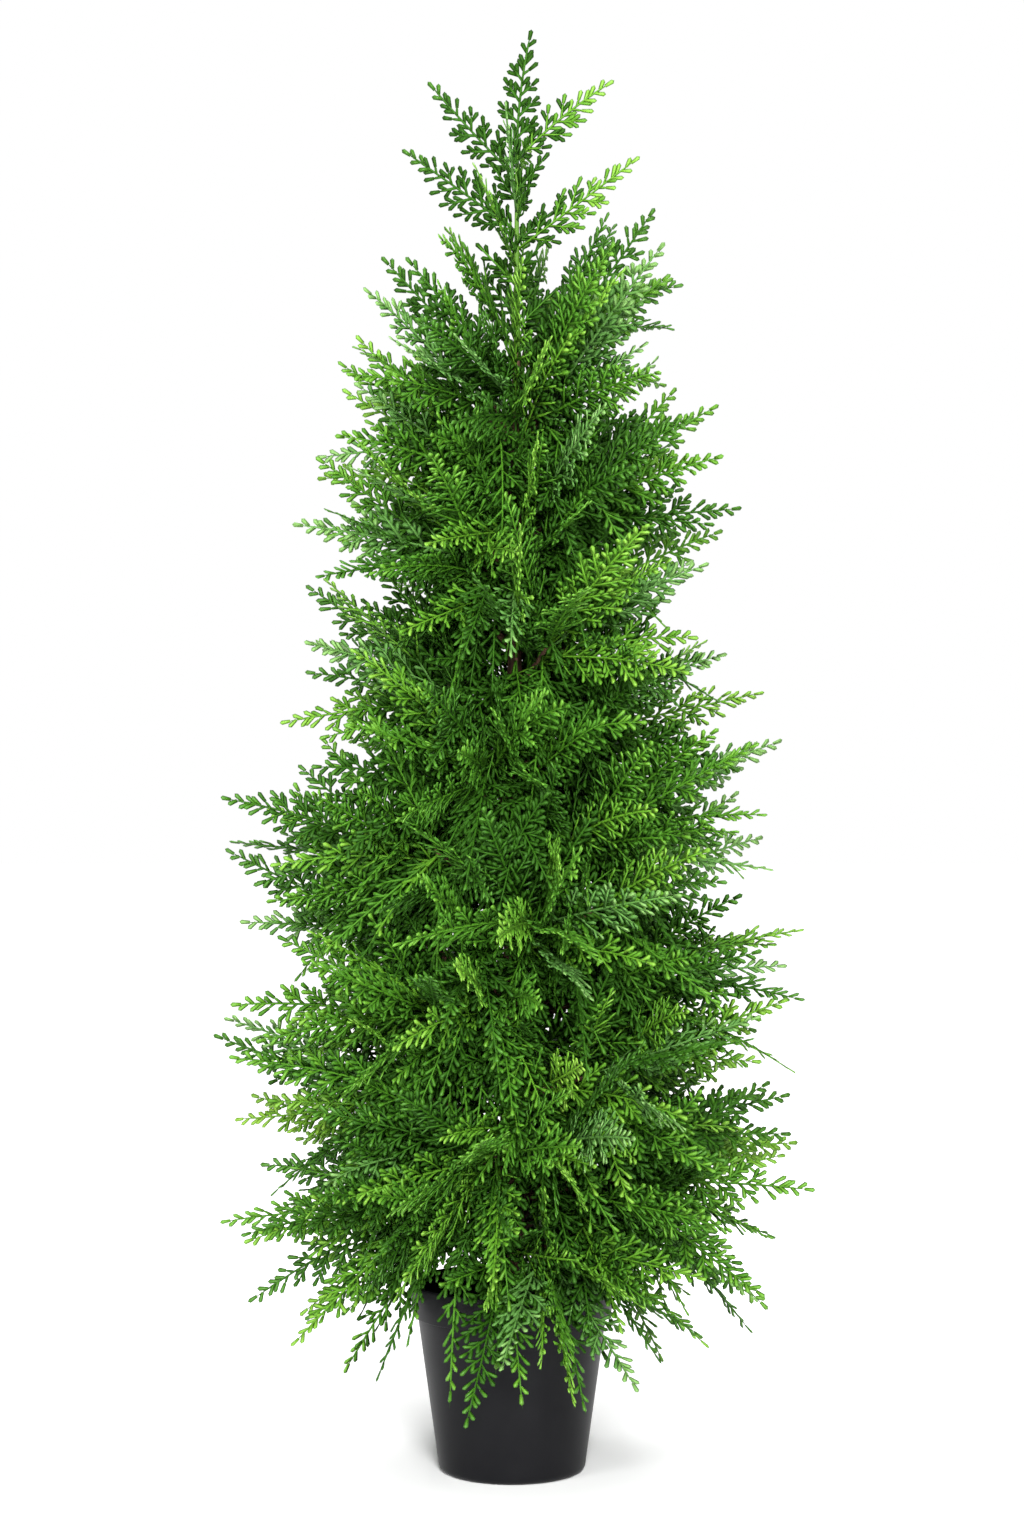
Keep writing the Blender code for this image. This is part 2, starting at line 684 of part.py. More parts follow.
def main():
    clear_scene()
    materials = make_materials()
    plant = make_collection("potted_cypress")
    masses = lay_out_masses()
    limbs = [
        (add_turned("pot", pot_profile(), materials["pot"], plant), "pot"),
        (add_turned("soil", soil_profile(), materials["soil"], plant), "soil"),
        (add_trunk(materials["bark"], plant), "trunk"),
    ]
    stems = []
    for mass in masses[:-1]:
        limbs.append((add_bough(mass, materials["bark"], plant), "bough"))
        stems.append(add_stem(mass, materials["foliage"], plant))
    stems.append(add_leader_stem(materials["foliage"], plant))
    limbs += [(stem, mass.name) for stem, mass in zip(stems, masses)]
    tree = limb_tree(limbs)
    for stem, mass in zip(stems, masses):
        grow = grow_leader_fronds if mass is masses[-1] else grow_fronds
        join_mass(stem, grow(mass, masses, tree), materials["foliage"])


main()
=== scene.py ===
"""Looks of a potted cypress: feathery moulded sprays on brown boughs, in a satin black pot.

Units are metres, +Z is up, and the row frame's origin is the centre of the pot's underside.
The crown grows by the rule of the solids: boughs in a golden-angle spiral, a stem with fronds
at the end of each, and side sprays in pairs along each frond. Here every side spray goes on to
its own small club-ended leaflets, and more fronds fill the crown between those of the solids.
"""

import math
import random
from collections import namedtuple

import bpy
import numpy as np
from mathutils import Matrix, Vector


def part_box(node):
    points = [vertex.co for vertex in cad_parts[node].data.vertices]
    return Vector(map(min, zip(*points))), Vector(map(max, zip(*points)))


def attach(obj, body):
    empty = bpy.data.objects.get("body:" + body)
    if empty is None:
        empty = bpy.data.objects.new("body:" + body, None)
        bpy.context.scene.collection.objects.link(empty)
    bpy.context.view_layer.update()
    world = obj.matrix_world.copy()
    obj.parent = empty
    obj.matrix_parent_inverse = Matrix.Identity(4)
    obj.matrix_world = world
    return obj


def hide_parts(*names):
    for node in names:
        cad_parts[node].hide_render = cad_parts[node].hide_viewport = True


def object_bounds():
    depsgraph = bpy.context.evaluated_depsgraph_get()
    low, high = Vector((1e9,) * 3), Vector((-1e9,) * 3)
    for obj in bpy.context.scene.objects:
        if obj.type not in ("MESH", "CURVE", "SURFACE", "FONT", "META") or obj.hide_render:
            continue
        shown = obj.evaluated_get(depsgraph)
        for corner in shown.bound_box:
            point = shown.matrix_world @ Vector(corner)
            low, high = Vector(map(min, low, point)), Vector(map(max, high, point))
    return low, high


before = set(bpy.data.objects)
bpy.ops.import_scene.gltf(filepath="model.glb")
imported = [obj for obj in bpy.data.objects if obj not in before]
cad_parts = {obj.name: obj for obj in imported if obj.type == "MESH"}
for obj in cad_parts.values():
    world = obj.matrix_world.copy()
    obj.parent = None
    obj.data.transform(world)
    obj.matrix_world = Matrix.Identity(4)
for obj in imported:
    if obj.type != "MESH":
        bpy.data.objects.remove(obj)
CAD_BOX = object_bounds()
UP = np.array([0.0, 0.0, 1.0])
GOLDEN_ANGLE = math.pi * (3 - math.sqrt(5))

# Sizes that come from the solids
POT_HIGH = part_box("pot")[1]
POT_HEIGHT = POT_HIGH.z
POT_RIM_RADIUS = POT_HIGH.x
SOIL_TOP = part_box("soil")[1].z
TRUNK_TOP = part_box("trunk")[1].z
HEIGHT = CAD_BOX[1].z

# Pot
POT_WALL = 0.0028
LIP_HEIGHT = 0.027
LIP_STEP = 0.0042  # by which the lip stands out from the body
LIP_TAPER = 0.0022
LIP_ROUND = 0.0007  # radius of its lower edge, and size of the groove under it
GROOVE_HEIGHT = 0.003
POT_FLOOR = 0.004
POT_BASE_RADIUS = 0.0605
POT_FOOT_ROUND = 0.006
FOOT_RING_RADIUS = 0.050  # inside it the underside is hollowed a little
FOOT_RING_DEPTH = 0.0015
POT_TURNS = 160  # points round the pot
ROUND_STEPS = 6  # points along each rounded edge
BODY_ENDS = (0.006, 0.012)  # the body's rings run from this far below the lip to this height
BODY_RINGS = 8
POT_CREASE = math.radians(40)  # edges that turn more than this stay sharp

# Soil
SOIL_EDGE = 0.132
SOIL_RADIUS = 0.0754
SOIL_RINGS = 44
SOIL_TURNS = 150
SOIL_CROWDING = 0.85  # power of the way out, which sets rings closer near the wall
SOIL_SKIRT = 0.010  # from the edge down to the flat underside
CLOD_HEIGHT = 0.0022
CLOD_SIZES = (0.030, 0.017, 0.010, 0.006, 0.0038)  # lengths of the waves that make them
CLOD_WAVES = 3  # of each size
CLOD_POWER = 0.4  # of its length, which sets how high a wave is
CLODS_LOWER = 0.4  # share by which clods are lower at the wall
CLOD_SEED = 4
CRUMBS = 420
CRUMB_SIZES = (0.0009, 0.0026)
CRUMB_MARGIN = 0.004  # from the soil's edge
CRUMBS_FROM = 0.06  # share of the soil's area, in its middle, that has none
CRUMB_LIFT = 0.35  # of a crumb's size, above the soil
CRUMB_CORNERS = (0.6, 1.15)  # how far out a corner stands
CRUMB_FLATNESS = 0.7
CRUMB_SEED = 11

# Trunk and boughs
TRUNK_RADIUS = 0.0100
TRUNK_TIP_RADIUS = 0.0036
FLARE_RADIUS = 0.0185
FLARE_HEIGHT = 0.045
FLARE_MOST = 1.2  # the flare's share at most, below the soil's top
TRUNK_LEAN = 0.004
LEAN_POWER = 1.5
TRUNK_ROOT = 0.004  # how far the bark goes on into the soil
TRUNK_SIDES = 56
TRUNK_RINGS = 420
BARK_RELIEF = 0.09  # share of the radius
BARK_WAVES = (3, 5, 8, 13, 21)  # whole waves round the limb, with two ridges to a wave
BARK_TWIST = 14  # the most that a wave turns, in radians for each unit along the limb
BARK_WANDERS = (30, 90)  # how fast a ridge wanders, in the same way, and how far
BARK_SWAY = 0.8
TRUNK_SEED = 21
BOUGH_RADIUS = 0.0036
STEM_TIP_RADIUS = 0.0013
BOUGH_SIDES = 10
BOUGH_RINGS = 26
BOUGH_ROOT = 0.55  # share of the trunk's radius from which it starts
BOUGH_COLLAR = 0.6  # by which it's thicker at its root
COLLAR_SHARE = 0.12  # of its length
BOUGH_RELIEF = 0.10
BOUGH_SEED = 40

# The crown's profile: height of a frond's tip, its reach, its slope, and its bough's foot
PROFILE = (
    (0.065, 0.170, math.radians(-60), 0.175),
    (0.120, 0.222, math.radians(-42), 0.182),
    (0.200, 0.264, math.radians(-22), 0.215),
    (0.320, 0.264, math.radians(3), 0.268),
    (0.550, 0.262, math.radians(13), 0.440),
    (0.650, 0.210, math.radians(27), 0.520),
    (0.800, 0.188, math.radians(36), 0.655),
    (0.920, 0.168, math.radians(44), 0.770),
    (1.030, 0.132, math.radians(50), 0.865),
    (1.090, 0.116, math.radians(58), 0.915),
    (1.170, 0.080, math.radians(70), TRUNK_TOP),
    (HEIGHT, 0.050, math.radians(80), TRUNK_TOP),
)
PROFILE_COLUMNS = np.array(PROFILE).T

# Boughs and masses
BOUGHS = 28
LOWEST_TIP = 0.125
HIGHEST_TIP = 1.080
FIRST_TURN = math.radians(-66)
CENTRE_SHARE = 0.62  # of a mass's reach, at its centre
BOUGH_SHARE = 0.42  # of the path, where the bough becomes the mass's stem
SHORTEST_PATH = 0.030
STEM_START = 0.004
STEM_END = 0.002
LEADER_CENTRE = 1.050

# Fronds of the solids
FRONDS = 7
HANGING_FRONDS = 3  # more of them on a mass that hangs
HANGING_SAG = 0.7  # a mass that sags more than this hangs
HANGING_SPREAD = math.radians(44)  # from the stem
HANGING_FAN = math.radians(48)  # from one of them to the next
HANGING_STEP = 0.2  # of the stem, from one's root to the next one's
TRIES = 30
FROND_LENGTH = 0.168
FROND_HALF_WIDTH = 0.028
LENGTHS = (0.92, 1.0)  # shares of that length and half-width, as drawn
WIDTHS = (0.88, 1.0)
ROLLS = (15, 85)  # degrees, to either side
ROOTS = (0.6, 1.0)  # share of its way back on the stem, as drawn
TURN_SWAY = 0.3
COARSE_SPACING = 0.0290  # of the side sprays by which a frond's fit is tried
FROND_BARE = 0.15  # shares of the rib without them, at its root and at its tip
FROND_TIP = 0.10
SPREAD = (math.radians(20), math.radians(72))
SPREAD_POWER = 0.5  # power of the share of tries made, by which they spread
TIPS_APART = 0.045
SPRAY_ANGLE = math.radians(46)
SPRAY_SWAY = 0.20
SPRAY_LENGTHS = (0.86, 1.0)
FIRST_SPRAYS = 0.70  # length of the first of them against the longest
SHORTENS_FROM = 0.46  # share of the rib past which they get shorter
SHORTENING = 1.35
DROOP = (0.02, 0.10)
SHRINK_STEP = 0.04  # by which a frond that doesn't fit is shortened, again and again
MOST_SHRINKS = 10
SPACE_GAP = 0.0010  # between a frond and the sides of its mass's space
LIMB_GAP = 0.0012  # between a frond and the pot or the trunk
GROUND_GAP = 0.062
REACH_MARGIN = 0.010  # how far side sprays may stand past the profile's reach
NEARLY_UPRIGHT = 0.1

# Leader
LEADER_STEM = 0.165
LEADER_STEM_ROOT = 0.004  # how far the stem goes down into the trunk
LEADER_STEM_RADII = (0.0030, 0.0013)
LEADER_STEM_RINGS = 12
LEADER_STEM_SIDES = 10
LEADER_ROOT = 0.004  # how far its fronds go down into the stem
LEADER_FIRST = 0.004
LEADER_SPACING = 0.0150
LEADER_SIDES = 9
LEADER_SPREAD = (math.radians(43), math.radians(62))
LEADER_TURN = math.radians(84)
LEADER_FACING = math.radians(90)
LEADER_ROLL = 30
LEADER_FROND = 0.106
LEADER_HALF_WIDTH = 0.019
LEADER_LONGER = 0.35
LEADER_WIDER = 0.4
LEADER_DROOP = 0.03
LEADER_TWIGS = 17
LEADER_TWIG_SPREAD = math.radians(42)
LEADER_TWIG_LENGTHS = (0.040, 0.062)
LEADER_TWIG_PLACES = (0.12, 0.86)  # share of the stem below them, and that they take up
LEADER_TWIG_WIDTH = 0.22  # half their width, against their length

# More fronds, between those of the solids
FORK_TURN = math.radians(30)
FORK_REACH = 0.97
FOUR_FORKS = (0.68, 0.85)  # between these heights of the foot
FORK_LIFT = 0.16  # by which one side stem rises more than the other
MORE_FRONDS = ((0.50, 4), (0.93, 2))  # foot of a stem, and how many it gets
MORE_TRIES = 80
MORE_CROWDING = 0.6  # power of the way along, which sets them closer near the stem's end
MORE_SPREAD = (math.radians(16), math.radians(74))
MORE_FLATNESS = 0.72  # how far they spread up and down, against sideways
MORE_LENGTHS = (0.80, 1.05)
MORE_REACH = (0.80, 1.06)  # of the profile's reach
MORE_APART = 0.028  # least distance between tips, over the whole crown
LYING_SHARE = 0.55  # how many lie over the crown's face, with their flat side outwards
LYING_TILT = 0.35  # by which they face upwards
LYING_DROOP = (0.10, 0.32)
STANDING_DROOP = (0.02, 0.14)  # of the others, which stand on edge
FACING_SWAY = 0.40
HANGING_MORE = ((0.22, 2), (0.30, 6), (0.50, 6), (0.93, 1))  # that hang over the crown's face
HANGING_FROM = 0.55  # share of the stem
HANGING_LENGTHS = (0.50, 0.82)
HANGING_SIDEWAYS = 0.85  # turn to either side, in radians
HANGING_SLOPES = (math.radians(-75), math.radians(-25))
TRUNK_FRONDS = 88  # straight from the trunk
TRUNK_FROND_CLIMB = 0.85  # power of the way up, which sets them closer near the top
TRUNK_FROND_SHARES = (0.62, 0.92)  # of the longest frond
TRUNK_FROND_GROWTH = 0.18  # by which they're longer at the top
TRUNK_FROND_REACH = (0.80, 1.0)  # of the profile's reach: low in the crown, and at its top
TRUNK_FROND_SWAY = (0.5, 0.28)  # of their slope, in radians: low in the crown, and at its top
TRUNK_FROND_TOP = 0.70  # height above which they change towards the values at the top
TRUNK_FROND_LOWEST = 0.190
TRUNK_FROND_AHEAD = 0.08  # how far above its root a frond takes its slope from the profile
TRUNK_FROND_TURN = 1.0  # of the lowest one, in radians
TRUNK_FROND_ROOT = 0.6  # share of the trunk's radius from which it starts

# Fine sprays
SIDE_PITCH = 0.0195  # along a rib, from one pair of side sprays to the next
SIDE_FIRST_SHARE = 0.12  # of the rib, at the first pair
END_STRETCH = 0.030  # of the rib, past the last pair, with single leaflets
SIDE_STAGGER = 0.30  # one side is ahead of the other by this share of the pitch
SIDE_LEAN = (1.02, 0.14)  # angle to the rib against SPRAY_ANGLE: at the root, less by the tip
SIDE_ANGLES = (0.9, 1.1)  # factors between which that angle differs
SIDE_LAST = 0.4  # of the pitch, between the last pair and the end stretch
SIDE_BEND = 0.12  # how far a side spray bends towards the frond's tip
SIDE_SAG = 0.05
RIB_BEND = 0.12
RIB_RADII = (0.0014, 0.0009)
SIDE_RADII = (0.0015, 0.0011)
RIB_STATIONS = 8
SIDE_STATIONS = 3
SIDE_FIRST = 0.72  # length of the first side sprays against the longest
SIDE_GROWTH = 1.4  # how fast that rises along the rib
SIDE_TAPER = 0.41  # the most that a side spray measures against the rib that is left
LEAFLET_PITCH = 0.0066  # along a side spray, from one pair of leaflets to the next
LEAFLET_FIRST = 0.0050  # from the rib to the first pair
RIB_LEAFLET_AHEAD = 0.0085  # from a side spray to the leaflet on the rib
LAST_LEAFLET = 0.8  # of a leaflet's length, which the last one takes of its twig
SHORTEST_TWIG = 0.30  # of a side spray, before its last leaflet
TWIG_AHEAD = 0.2  # of a side spray, by which its twig runs on into that leaflet
LEAFLET_STAGGER = 0.35  # one side is ahead of the other by this share of the pitch
LEAFLET_ANGLE = math.radians(34)
LEAFLET_ANGLES = (0.85, 1.15)  # factors between which it differs on side sprays
RIB_LEAFLET_ANGLES = (0.90, 1.25)  # and on ribs
LEAFLET_LENGTH = 0.0114
LEAFLET_LENGTHS = (0.85, 1.12)  # factors between which it differs on side sprays
RIB_LEAFLET_LENGTHS = (0.85, 1.05)  # and on ribs
END_LEAFLET_LENGTHS = (0.95, 0.20)  # on the end stretch: at first, and less by its end
LEAFLET_SHORTENING = 0.28  # share by which leaflets get shorter towards a side spray's tip
LEAFLET_HALF_WIDTH = 0.0020
LEAFLET_THICKNESS = 0.60  # of its width
LEAFLET_STALK = 0.70  # width at its root, against its widest
LEAFLET_WIDEST = 0.80  # share of its length where it's widest
LEAFLET_BACK = -0.3  # a ring's corners behind and before the middle, against its width
LEAFLET_FRONT = 0.7
LEAFLET_SWAY = 0.30
END_LEAFLET_SWAY = 0.5  # of that, on the end stretch
# Painted light and shade on the leaflets, by how far out they lie in the crown:
LIGHTER_TIPS = 0.2  # by which leaflets at the tips count as further out, for their painted light
LIGHTER_RIBS = 0.1  # and those on the ribs
LIGHTER_FROM = (0.64, 0.96)  # how far out leaflets begin to take the lit green of painted light, and all take it
OPEN_TOP = (0.90, 1.05)  # heights between which the crown opens
OPEN_TOP_RISE = 0.12  # by which leaflets there count as further out
CORE_TO = (0.32, 0.60)  # how far out the leaflets in the dark green of painted shade stop being all, and none are left
END_LEAFLETS = 4  # single ones on the end stretch
MOST_FACES = 190_000  # in one joined piece
DEEPER = 1.2  # how much a frond's depth in the crown draws it to the darker tints, as painted shade
DEEPER_FROM = 0.10  # the depth at which that begins
DEEPER_MOST = 0.7  # the most depth past it that counts
LEAF_SEED = 7

Mass = namedtuple("Mass", "name azimuth foot rise sag reach centre")
Frond = namedtuple("Frond", "root along normal length half_width droop seed")
Ribs = namedtuple("Ribs", "root along normal length half_width droop bend tint")
Sides = namedtuple("Sides", "rib share start along rib_along outward length")
Leaflets = namedtuple("Leaflets", "root along outward length tint")


# ---------------------------------------------------------------- vectors


def unit(vectors):
    """Vectors divided by their lengths."""
    return vectors / np.linalg.norm(vectors, axis=-1, keepdims=True)


def between(ends, share):
    """The value at a share of the way from one end to the other."""
    return ends[0] + (ends[1] - ends[0]) * share


def outwards(azimuth):
    """The level direction at an azimuth: (cos, sin, 0)."""
    return np.array([math.cos(azimuth), math.sin(azimuth), 0.0])


def rising(azimuth, slope):
    """The direction at an azimuth and a slope: outwards by its cosine, and up by its sine."""
    return outwards(azimuth) * math.cos(slope) + UP * math.sin(slope)


def leaning(azimuth, spread):
    """The direction that leans from upright: up by the cosine, and outwards by the sine."""
    return UP * math.cos(spread) + outwards(azimuth) * math.sin(spread)


def turned(vector, axis, angle):
    """A vector turned about a unit axis: v cos + (a x v) sin + a (a.v)(1 - cos)."""
    swung = vector * math.cos(angle) + np.cross(axis, vector) * math.sin(angle)
    return swung + axis * (axis @ vector) * (1 - math.cos(angle))


def off_axis(axis, spread, turn):
    """A direction at the angle spread from an axis, turned about that axis from the top."""
    sideways = unit(np.cross(axis, UP))
    return turned(turned(axis, sideways, spread), axis, turn)


# ---------------------------------------------------------------- the crown's layout


def profile_at(height):
    """Reach, slope and foot at a height, in straight lines between the profile's stations."""
    return [np.interp(height, PROFILE_COLUMNS[0], column) for column in PROFILE_COLUMNS[1:]]


def trunk_radius(height):
    """A straight taper, with the root flare added as a square law near the ground."""
    share = (height - SOIL_TOP) / (TRUNK_TOP - SOIL_TOP)
    taper = between((TRUNK_RADIUS, TRUNK_TIP_RADIUS), share)
    near = np.clip(1 - (height - SOIL_TOP) / FLARE_HEIGHT, 0.0, FLARE_MOST)
    return taper + (FLARE_RADIUS - TRUNK_RADIUS) * near**2


def trunk_shift(height):
    """The trunk's sideways lean at a height, a power of the way up."""
    share = np.maximum(0.0, (height - SOIL_TOP) / (TRUNK_TOP - SOIL_TOP))
    return TRUNK_LEAN * share**LEAN_POWER


def path_point(mass, radius):
    """Points of a mass's bough and stem: outwards by radius, rising as a parabola that sags."""
    radius = np.asarray(radius, float)
    point = outwards(mass.azimuth) * radius[..., None]
    point[..., 0] += trunk_shift(mass.foot)
    point[..., 2] = mass.foot + mass.rise * radius - mass.sag * radius**2
    return point


def path_slope(mass, radius):
    """The path's angle at a radius: the arctangent of the rise, less twice the sag times it."""
    return math.atan(mass.rise - 2 * mass.sag * radius)


def path_direction(mass, radius):
    """The path's direction at a radius."""
    return rising(mass.azimuth, path_slope(mass, radius))


def path_start(mass):
    """The radius where a bough leaves the trunk: the trunk's own, at the bough's foot."""
    return float(trunk_radius(mass.foot))


def path_end(mass):
    """The radius where a stem ends: a frond's length, measured level, short of the reach."""
    slope = path_slope(mass, mass.reach - FROND_LENGTH / 2)
    end = mass.reach - FROND_LENGTH * math.cos(slope)
    return max(end, path_start(mass) + SHORTEST_PATH)


def bough_end(mass):
    """The radius where a bough becomes its mass's stem."""
    return between((path_start(mass), path_end(mass)), BOUGH_SHARE)


def lay_out_masses():
    """Masses from the lowest to the highest, a golden angle apart, with the leader last."""
    step = (HIGHEST_TIP - LOWEST_TIP) / (BOUGHS - 1)
    middles = LOWEST_TIP + step * (np.arange(BOUGHS - 1) + 0.5)
    mean_reach = profile_at(middles)[0].mean()
    tip_height = LOWEST_TIP
    masses = []
    for number in range(BOUGHS):
        reach, slope, foot = profile_at(tip_height)
        mean_rise = (tip_height - foot) / reach
        rise = 2 * mean_rise - math.tan(slope)
        sag = (mean_rise - math.tan(slope)) / reach
        azimuth = FIRST_TURN + GOLDEN_ANGLE * number
        mass = Mass(f"{number + 1:02d}", azimuth, foot, rise, sag, reach, None)
        masses.append(mass._replace(centre=path_point(mass, reach * CENTRE_SHARE)))
        tip_height += step * mean_reach / reach
    top = np.array([0.0, 0.0, LEADER_CENTRE])
    masses.append(Mass("leader", 0.0, TRUNK_TOP, 0.0, 0.0, 0.0, top))
    return masses


def walls_of(own, masses):
    """Points halfway to each other centre, and the ways there: the sides of a mass's space."""
    others = np.array([mass.centre for mass in masses if mass is not own])
    return (own.centre + others) / 2, unit(others - own.centre)


# ---------------------------------------------------------------- fronds


def rib_point(frond, share):
    """The rib at shares of its length: straight ahead, and down by the square of the way."""
    share = np.asarray(share, float)[..., None]
    ahead = frond.along * (frond.length * share)
    return frond.root + ahead - UP * (frond.droop * frond.length) * share**2


def swell(share):
    """Length of side sprays against the longest: most in the middle, least at the tip."""
    near_tip = 1 - SHORTENING * (share - SHORTENS_FROM)
    return np.minimum(np.minimum(FIRST_SPRAYS + share, 1.0), near_tip)


def frond_corners(frond):
    """The rib's stations, the tips of the frond's coarse side sprays, and its own tip."""
    draw = random.Random(frond.seed)
    carrying = 1 - FROND_BARE - FROND_TIP
    pairs = round(frond.length * carrying / COARSE_SPACING)
    shares = FROND_BARE + carrying * np.arange(pairs + 1) / pairs
    middles = (shares[1:] + shares[:-1]) / 2
    drawn = [
        (draw.uniform(*SPRAY_LENGTHS), draw.uniform(-SPRAY_SWAY, SPRAY_SWAY))
        for _ in range(2 * len(middles))
    ]
    lengths, sways = np.array(drawn).reshape(-1, 2, 2).transpose(2, 1, 0)
    along = unit(frond.along - UP * (2 * frond.droop * middles[:, None]))
    sideways = unit(np.cross(frond.normal, along))
    outward = np.cross(along, sideways)
    longest = frond.half_width / math.sin(SPRAY_ANGLE) * swell(middles)
    tips = []
    for column, side in enumerate((-1, 1)):
        length = (longest * lengths[column])[:, None]
        sway = outward * sways[column][:, None]
        lean = along * math.cos(SPRAY_ANGLE) + sideways * (side * math.sin(SPRAY_ANGLE))
        tips.append(rib_point(frond, middles) + (lean + sway) * length)
    return np.concatenate([rib_point(frond, shares), *tips, rib_point(frond, [1.0])])


def fits(corners, walls, reach=1.0):
    """Whether corners lie inside the profile, clear of the ground, the pot and the trunk."""
    out = np.hypot(corners[:, 0], corners[:, 1])
    if (corners[:, 2] < GROUND_GAP).any():
        return False
    if (out > reach * profile_at(corners[:, 2])[0] + REACH_MARGIN).any():
        return False
    low = corners[:, 2] < POT_HEIGHT + LIMB_GAP
    if (out[low] < POT_RIM_RADIUS + LIMB_GAP).any():
        return False
    if (out[corners[:, 2] < TRUNK_TOP] < TRUNK_RADIUS + LIMB_GAP).any():
        return False
    if walls is None:
        return True
    middles, ways = walls
    beyond = np.einsum("pwc,wc->pw", corners[:, None, :] - middles, ways)
    return bool((beyond < -SPACE_GAP).all())


def fitted(frond, walls, reach=1.0):
    """The longest version of a frond that fits, or None."""
    for number in range(MOST_SHRINKS + 1):
        share = 1 - SHRINK_STEP * number
        narrowed = frond.half_width * (1 + share) / 2
        tried = frond._replace(length=frond.length * share, half_width=narrowed)
        if fits(frond_corners(tried), walls, reach):
            return tried
    return None


def make_frond(root, along, roll, length, half_width, droop, seed):
    """A frond whose flat side faces up before it is rolled about its own direction."""
    level_side = np.cross(UP, along)
    if np.linalg.norm(level_side) < NEARLY_UPRIGHT:
        level_side = np.cross([1.0, 0.0, 0.0], along)
    normal = turned(np.cross(along, unit(level_side)), along, roll)
    return Frond(root, along, normal, length, half_width, droop, seed)


def aims(own):
    """How far back on the stem each frond is tried, its angle from the stem and its turn."""
    found = [(0.0, 0.0, 0.0)]
    if own.sag > HANGING_SAG:
        for number in range(HANGING_FRONDS):
            turn = math.pi + HANGING_FAN * (number - (HANGING_FRONDS - 1) / 2)
            found.append((HANGING_STEP * (number + 1), HANGING_SPREAD, turn))
    for number in range(1, TRIES):
        spread = between(SPREAD, (number / TRIES) ** SPREAD_POWER)
        found.append((min(1.0, number / (FRONDS - 1)), spread, GOLDEN_ANGLE * number))
    return found


def grow_fronds(own, masses):
    """The fronds of the solids: aimed in turn, and kept where they fit."""
    draw = random.Random(f"mass {own.name}")
    walls = walls_of(own, masses)
    start, end = bough_end(own) + STEM_START, path_end(own) - STEM_END
    wanted_count = FRONDS + (HANGING_FRONDS if own.sag > HANGING_SAG else 0)
    fronds = []
    for number, (back, spread, turn) in enumerate(aims(own)):
        if len(fronds) == wanted_count:
            break
        radius = end - (end - start) * back * draw.uniform(*ROOTS)
        turn += draw.uniform(-TURN_SWAY, TURN_SWAY)
        along = off_axis(path_direction(own, radius), spread, turn)
        roll = math.radians(draw.uniform(*ROLLS)) * draw.choice((-1, 1))
        length = FROND_LENGTH * draw.uniform(*LENGTHS)
        half_width = FROND_HALF_WIDTH * draw.uniform(*WIDTHS)
        droop = draw.uniform(*DROOP)
        root = path_point(own, radius)
        seed = f"frond {own.name} {number}"
        grown = fitted(make_frond(root, along, roll, length, half_width, droop, seed), walls)
        tips = [rib_point(other, 1.0) for other in fronds]
        if grown and all(np.linalg.norm(rib_point(grown, 1.0) - tip) > TIPS_APART for tip in tips):
            fronds.append(grown)
    return fronds


def grow_leader_fronds(own, masses):
    """One frond up the middle, then side fronds in opposite pairs that turn down the stem."""
    draw = random.Random("leader")
    walls = walls_of(own, masses)
    shift = float(trunk_shift(TRUNK_TOP))
    top = TRUNK_TOP + LEADER_STEM
    root = np.array([shift, 0.0, top - LEADER_ROOT])
    ahead = HEIGHT - root[2]
    middle = make_frond(root, UP, LEADER_FACING, ahead, LEADER_HALF_WIDTH, 0.0, "leader top")
    fronds = [middle]
    for number in range(LEADER_SIDES):
        share = number / (LEADER_SIDES - 1)
        azimuth = math.pi * (number % 2) + LEADER_TURN * (number // 2)
        along = leaning(azimuth, between(LEADER_SPREAD, share))
        root = np.array([shift, 0.0, top - LEADER_FIRST - LEADER_SPACING * number])
        roll = LEADER_FACING + math.radians(draw.uniform(-LEADER_ROLL, LEADER_ROLL))
        length = LEADER_FROND * (1 + LEADER_LONGER * share)
        half_width = LEADER_HALF_WIDTH * (1 + LEADER_WIDER * share)
        seed = f"leader {number}"
        wanted = make_frond(root, along, roll, length, half_width, LEADER_DROOP, seed)
        fronds.append(fitted(wanted, walls))
    return [frond for frond in fronds if frond]


def forks_of(mass):
    """Side stems of a mass, turned to either side of its bough and a little shorter.

    There are two, and four in the part of the crown where the masses are furthest apart.
    """
    forks = []
    turns = (-1, 1, -2, 2) if FOUR_FORKS[0] < mass.foot < FOUR_FORKS[1] else (-1, 1)
    for number, turn in enumerate(turns):
        name = f"{mass.name}{'abcd'[number]}"
        azimuth = mass.azimuth + turn * FORK_TURN
        rise = mass.rise + FORK_LIFT * (number % 2 - 0.5)
        reach = mass.reach * FORK_REACH
        forks.append(mass._replace(name=name, azimuth=azimuth, reach=reach, rise=rise))
    return forks


def wanted_at(height, counts):
    """How many fronds a stem gets, between the counts that are given for some heights."""
    return round(float(np.interp(height, *zip(*counts))))


def facing(root, draw, lying):
    """The way a frond's flat side faces: outwards if it lies over the crown, else sideways."""
    azimuth = math.atan2(root[1], root[0])
    sway = np.array([draw.uniform(-FACING_SWAY, FACING_SWAY) for _ in range(3)])
    if lying:
        return outwards(azimuth) + UP * LYING_TILT + sway
    return outwards(azimuth + math.pi / 2) + sway


def free_frond(root, along, draw, lengths, lying, seed):
    """A frond that isn't one of the solids', of a drawn length, width, droop and facing."""
    towards = facing(root, draw, lying)
    normal = unit(towards - along * (towards @ along))
    length = FROND_LENGTH * draw.uniform(*lengths)
    half_width = FROND_HALF_WIDTH * draw.uniform(*WIDTHS)
    droop = draw.uniform(*(LYING_DROOP if lying else STANDING_DROOP))
    return Frond(root, along, normal, length, half_width, droop, seed)


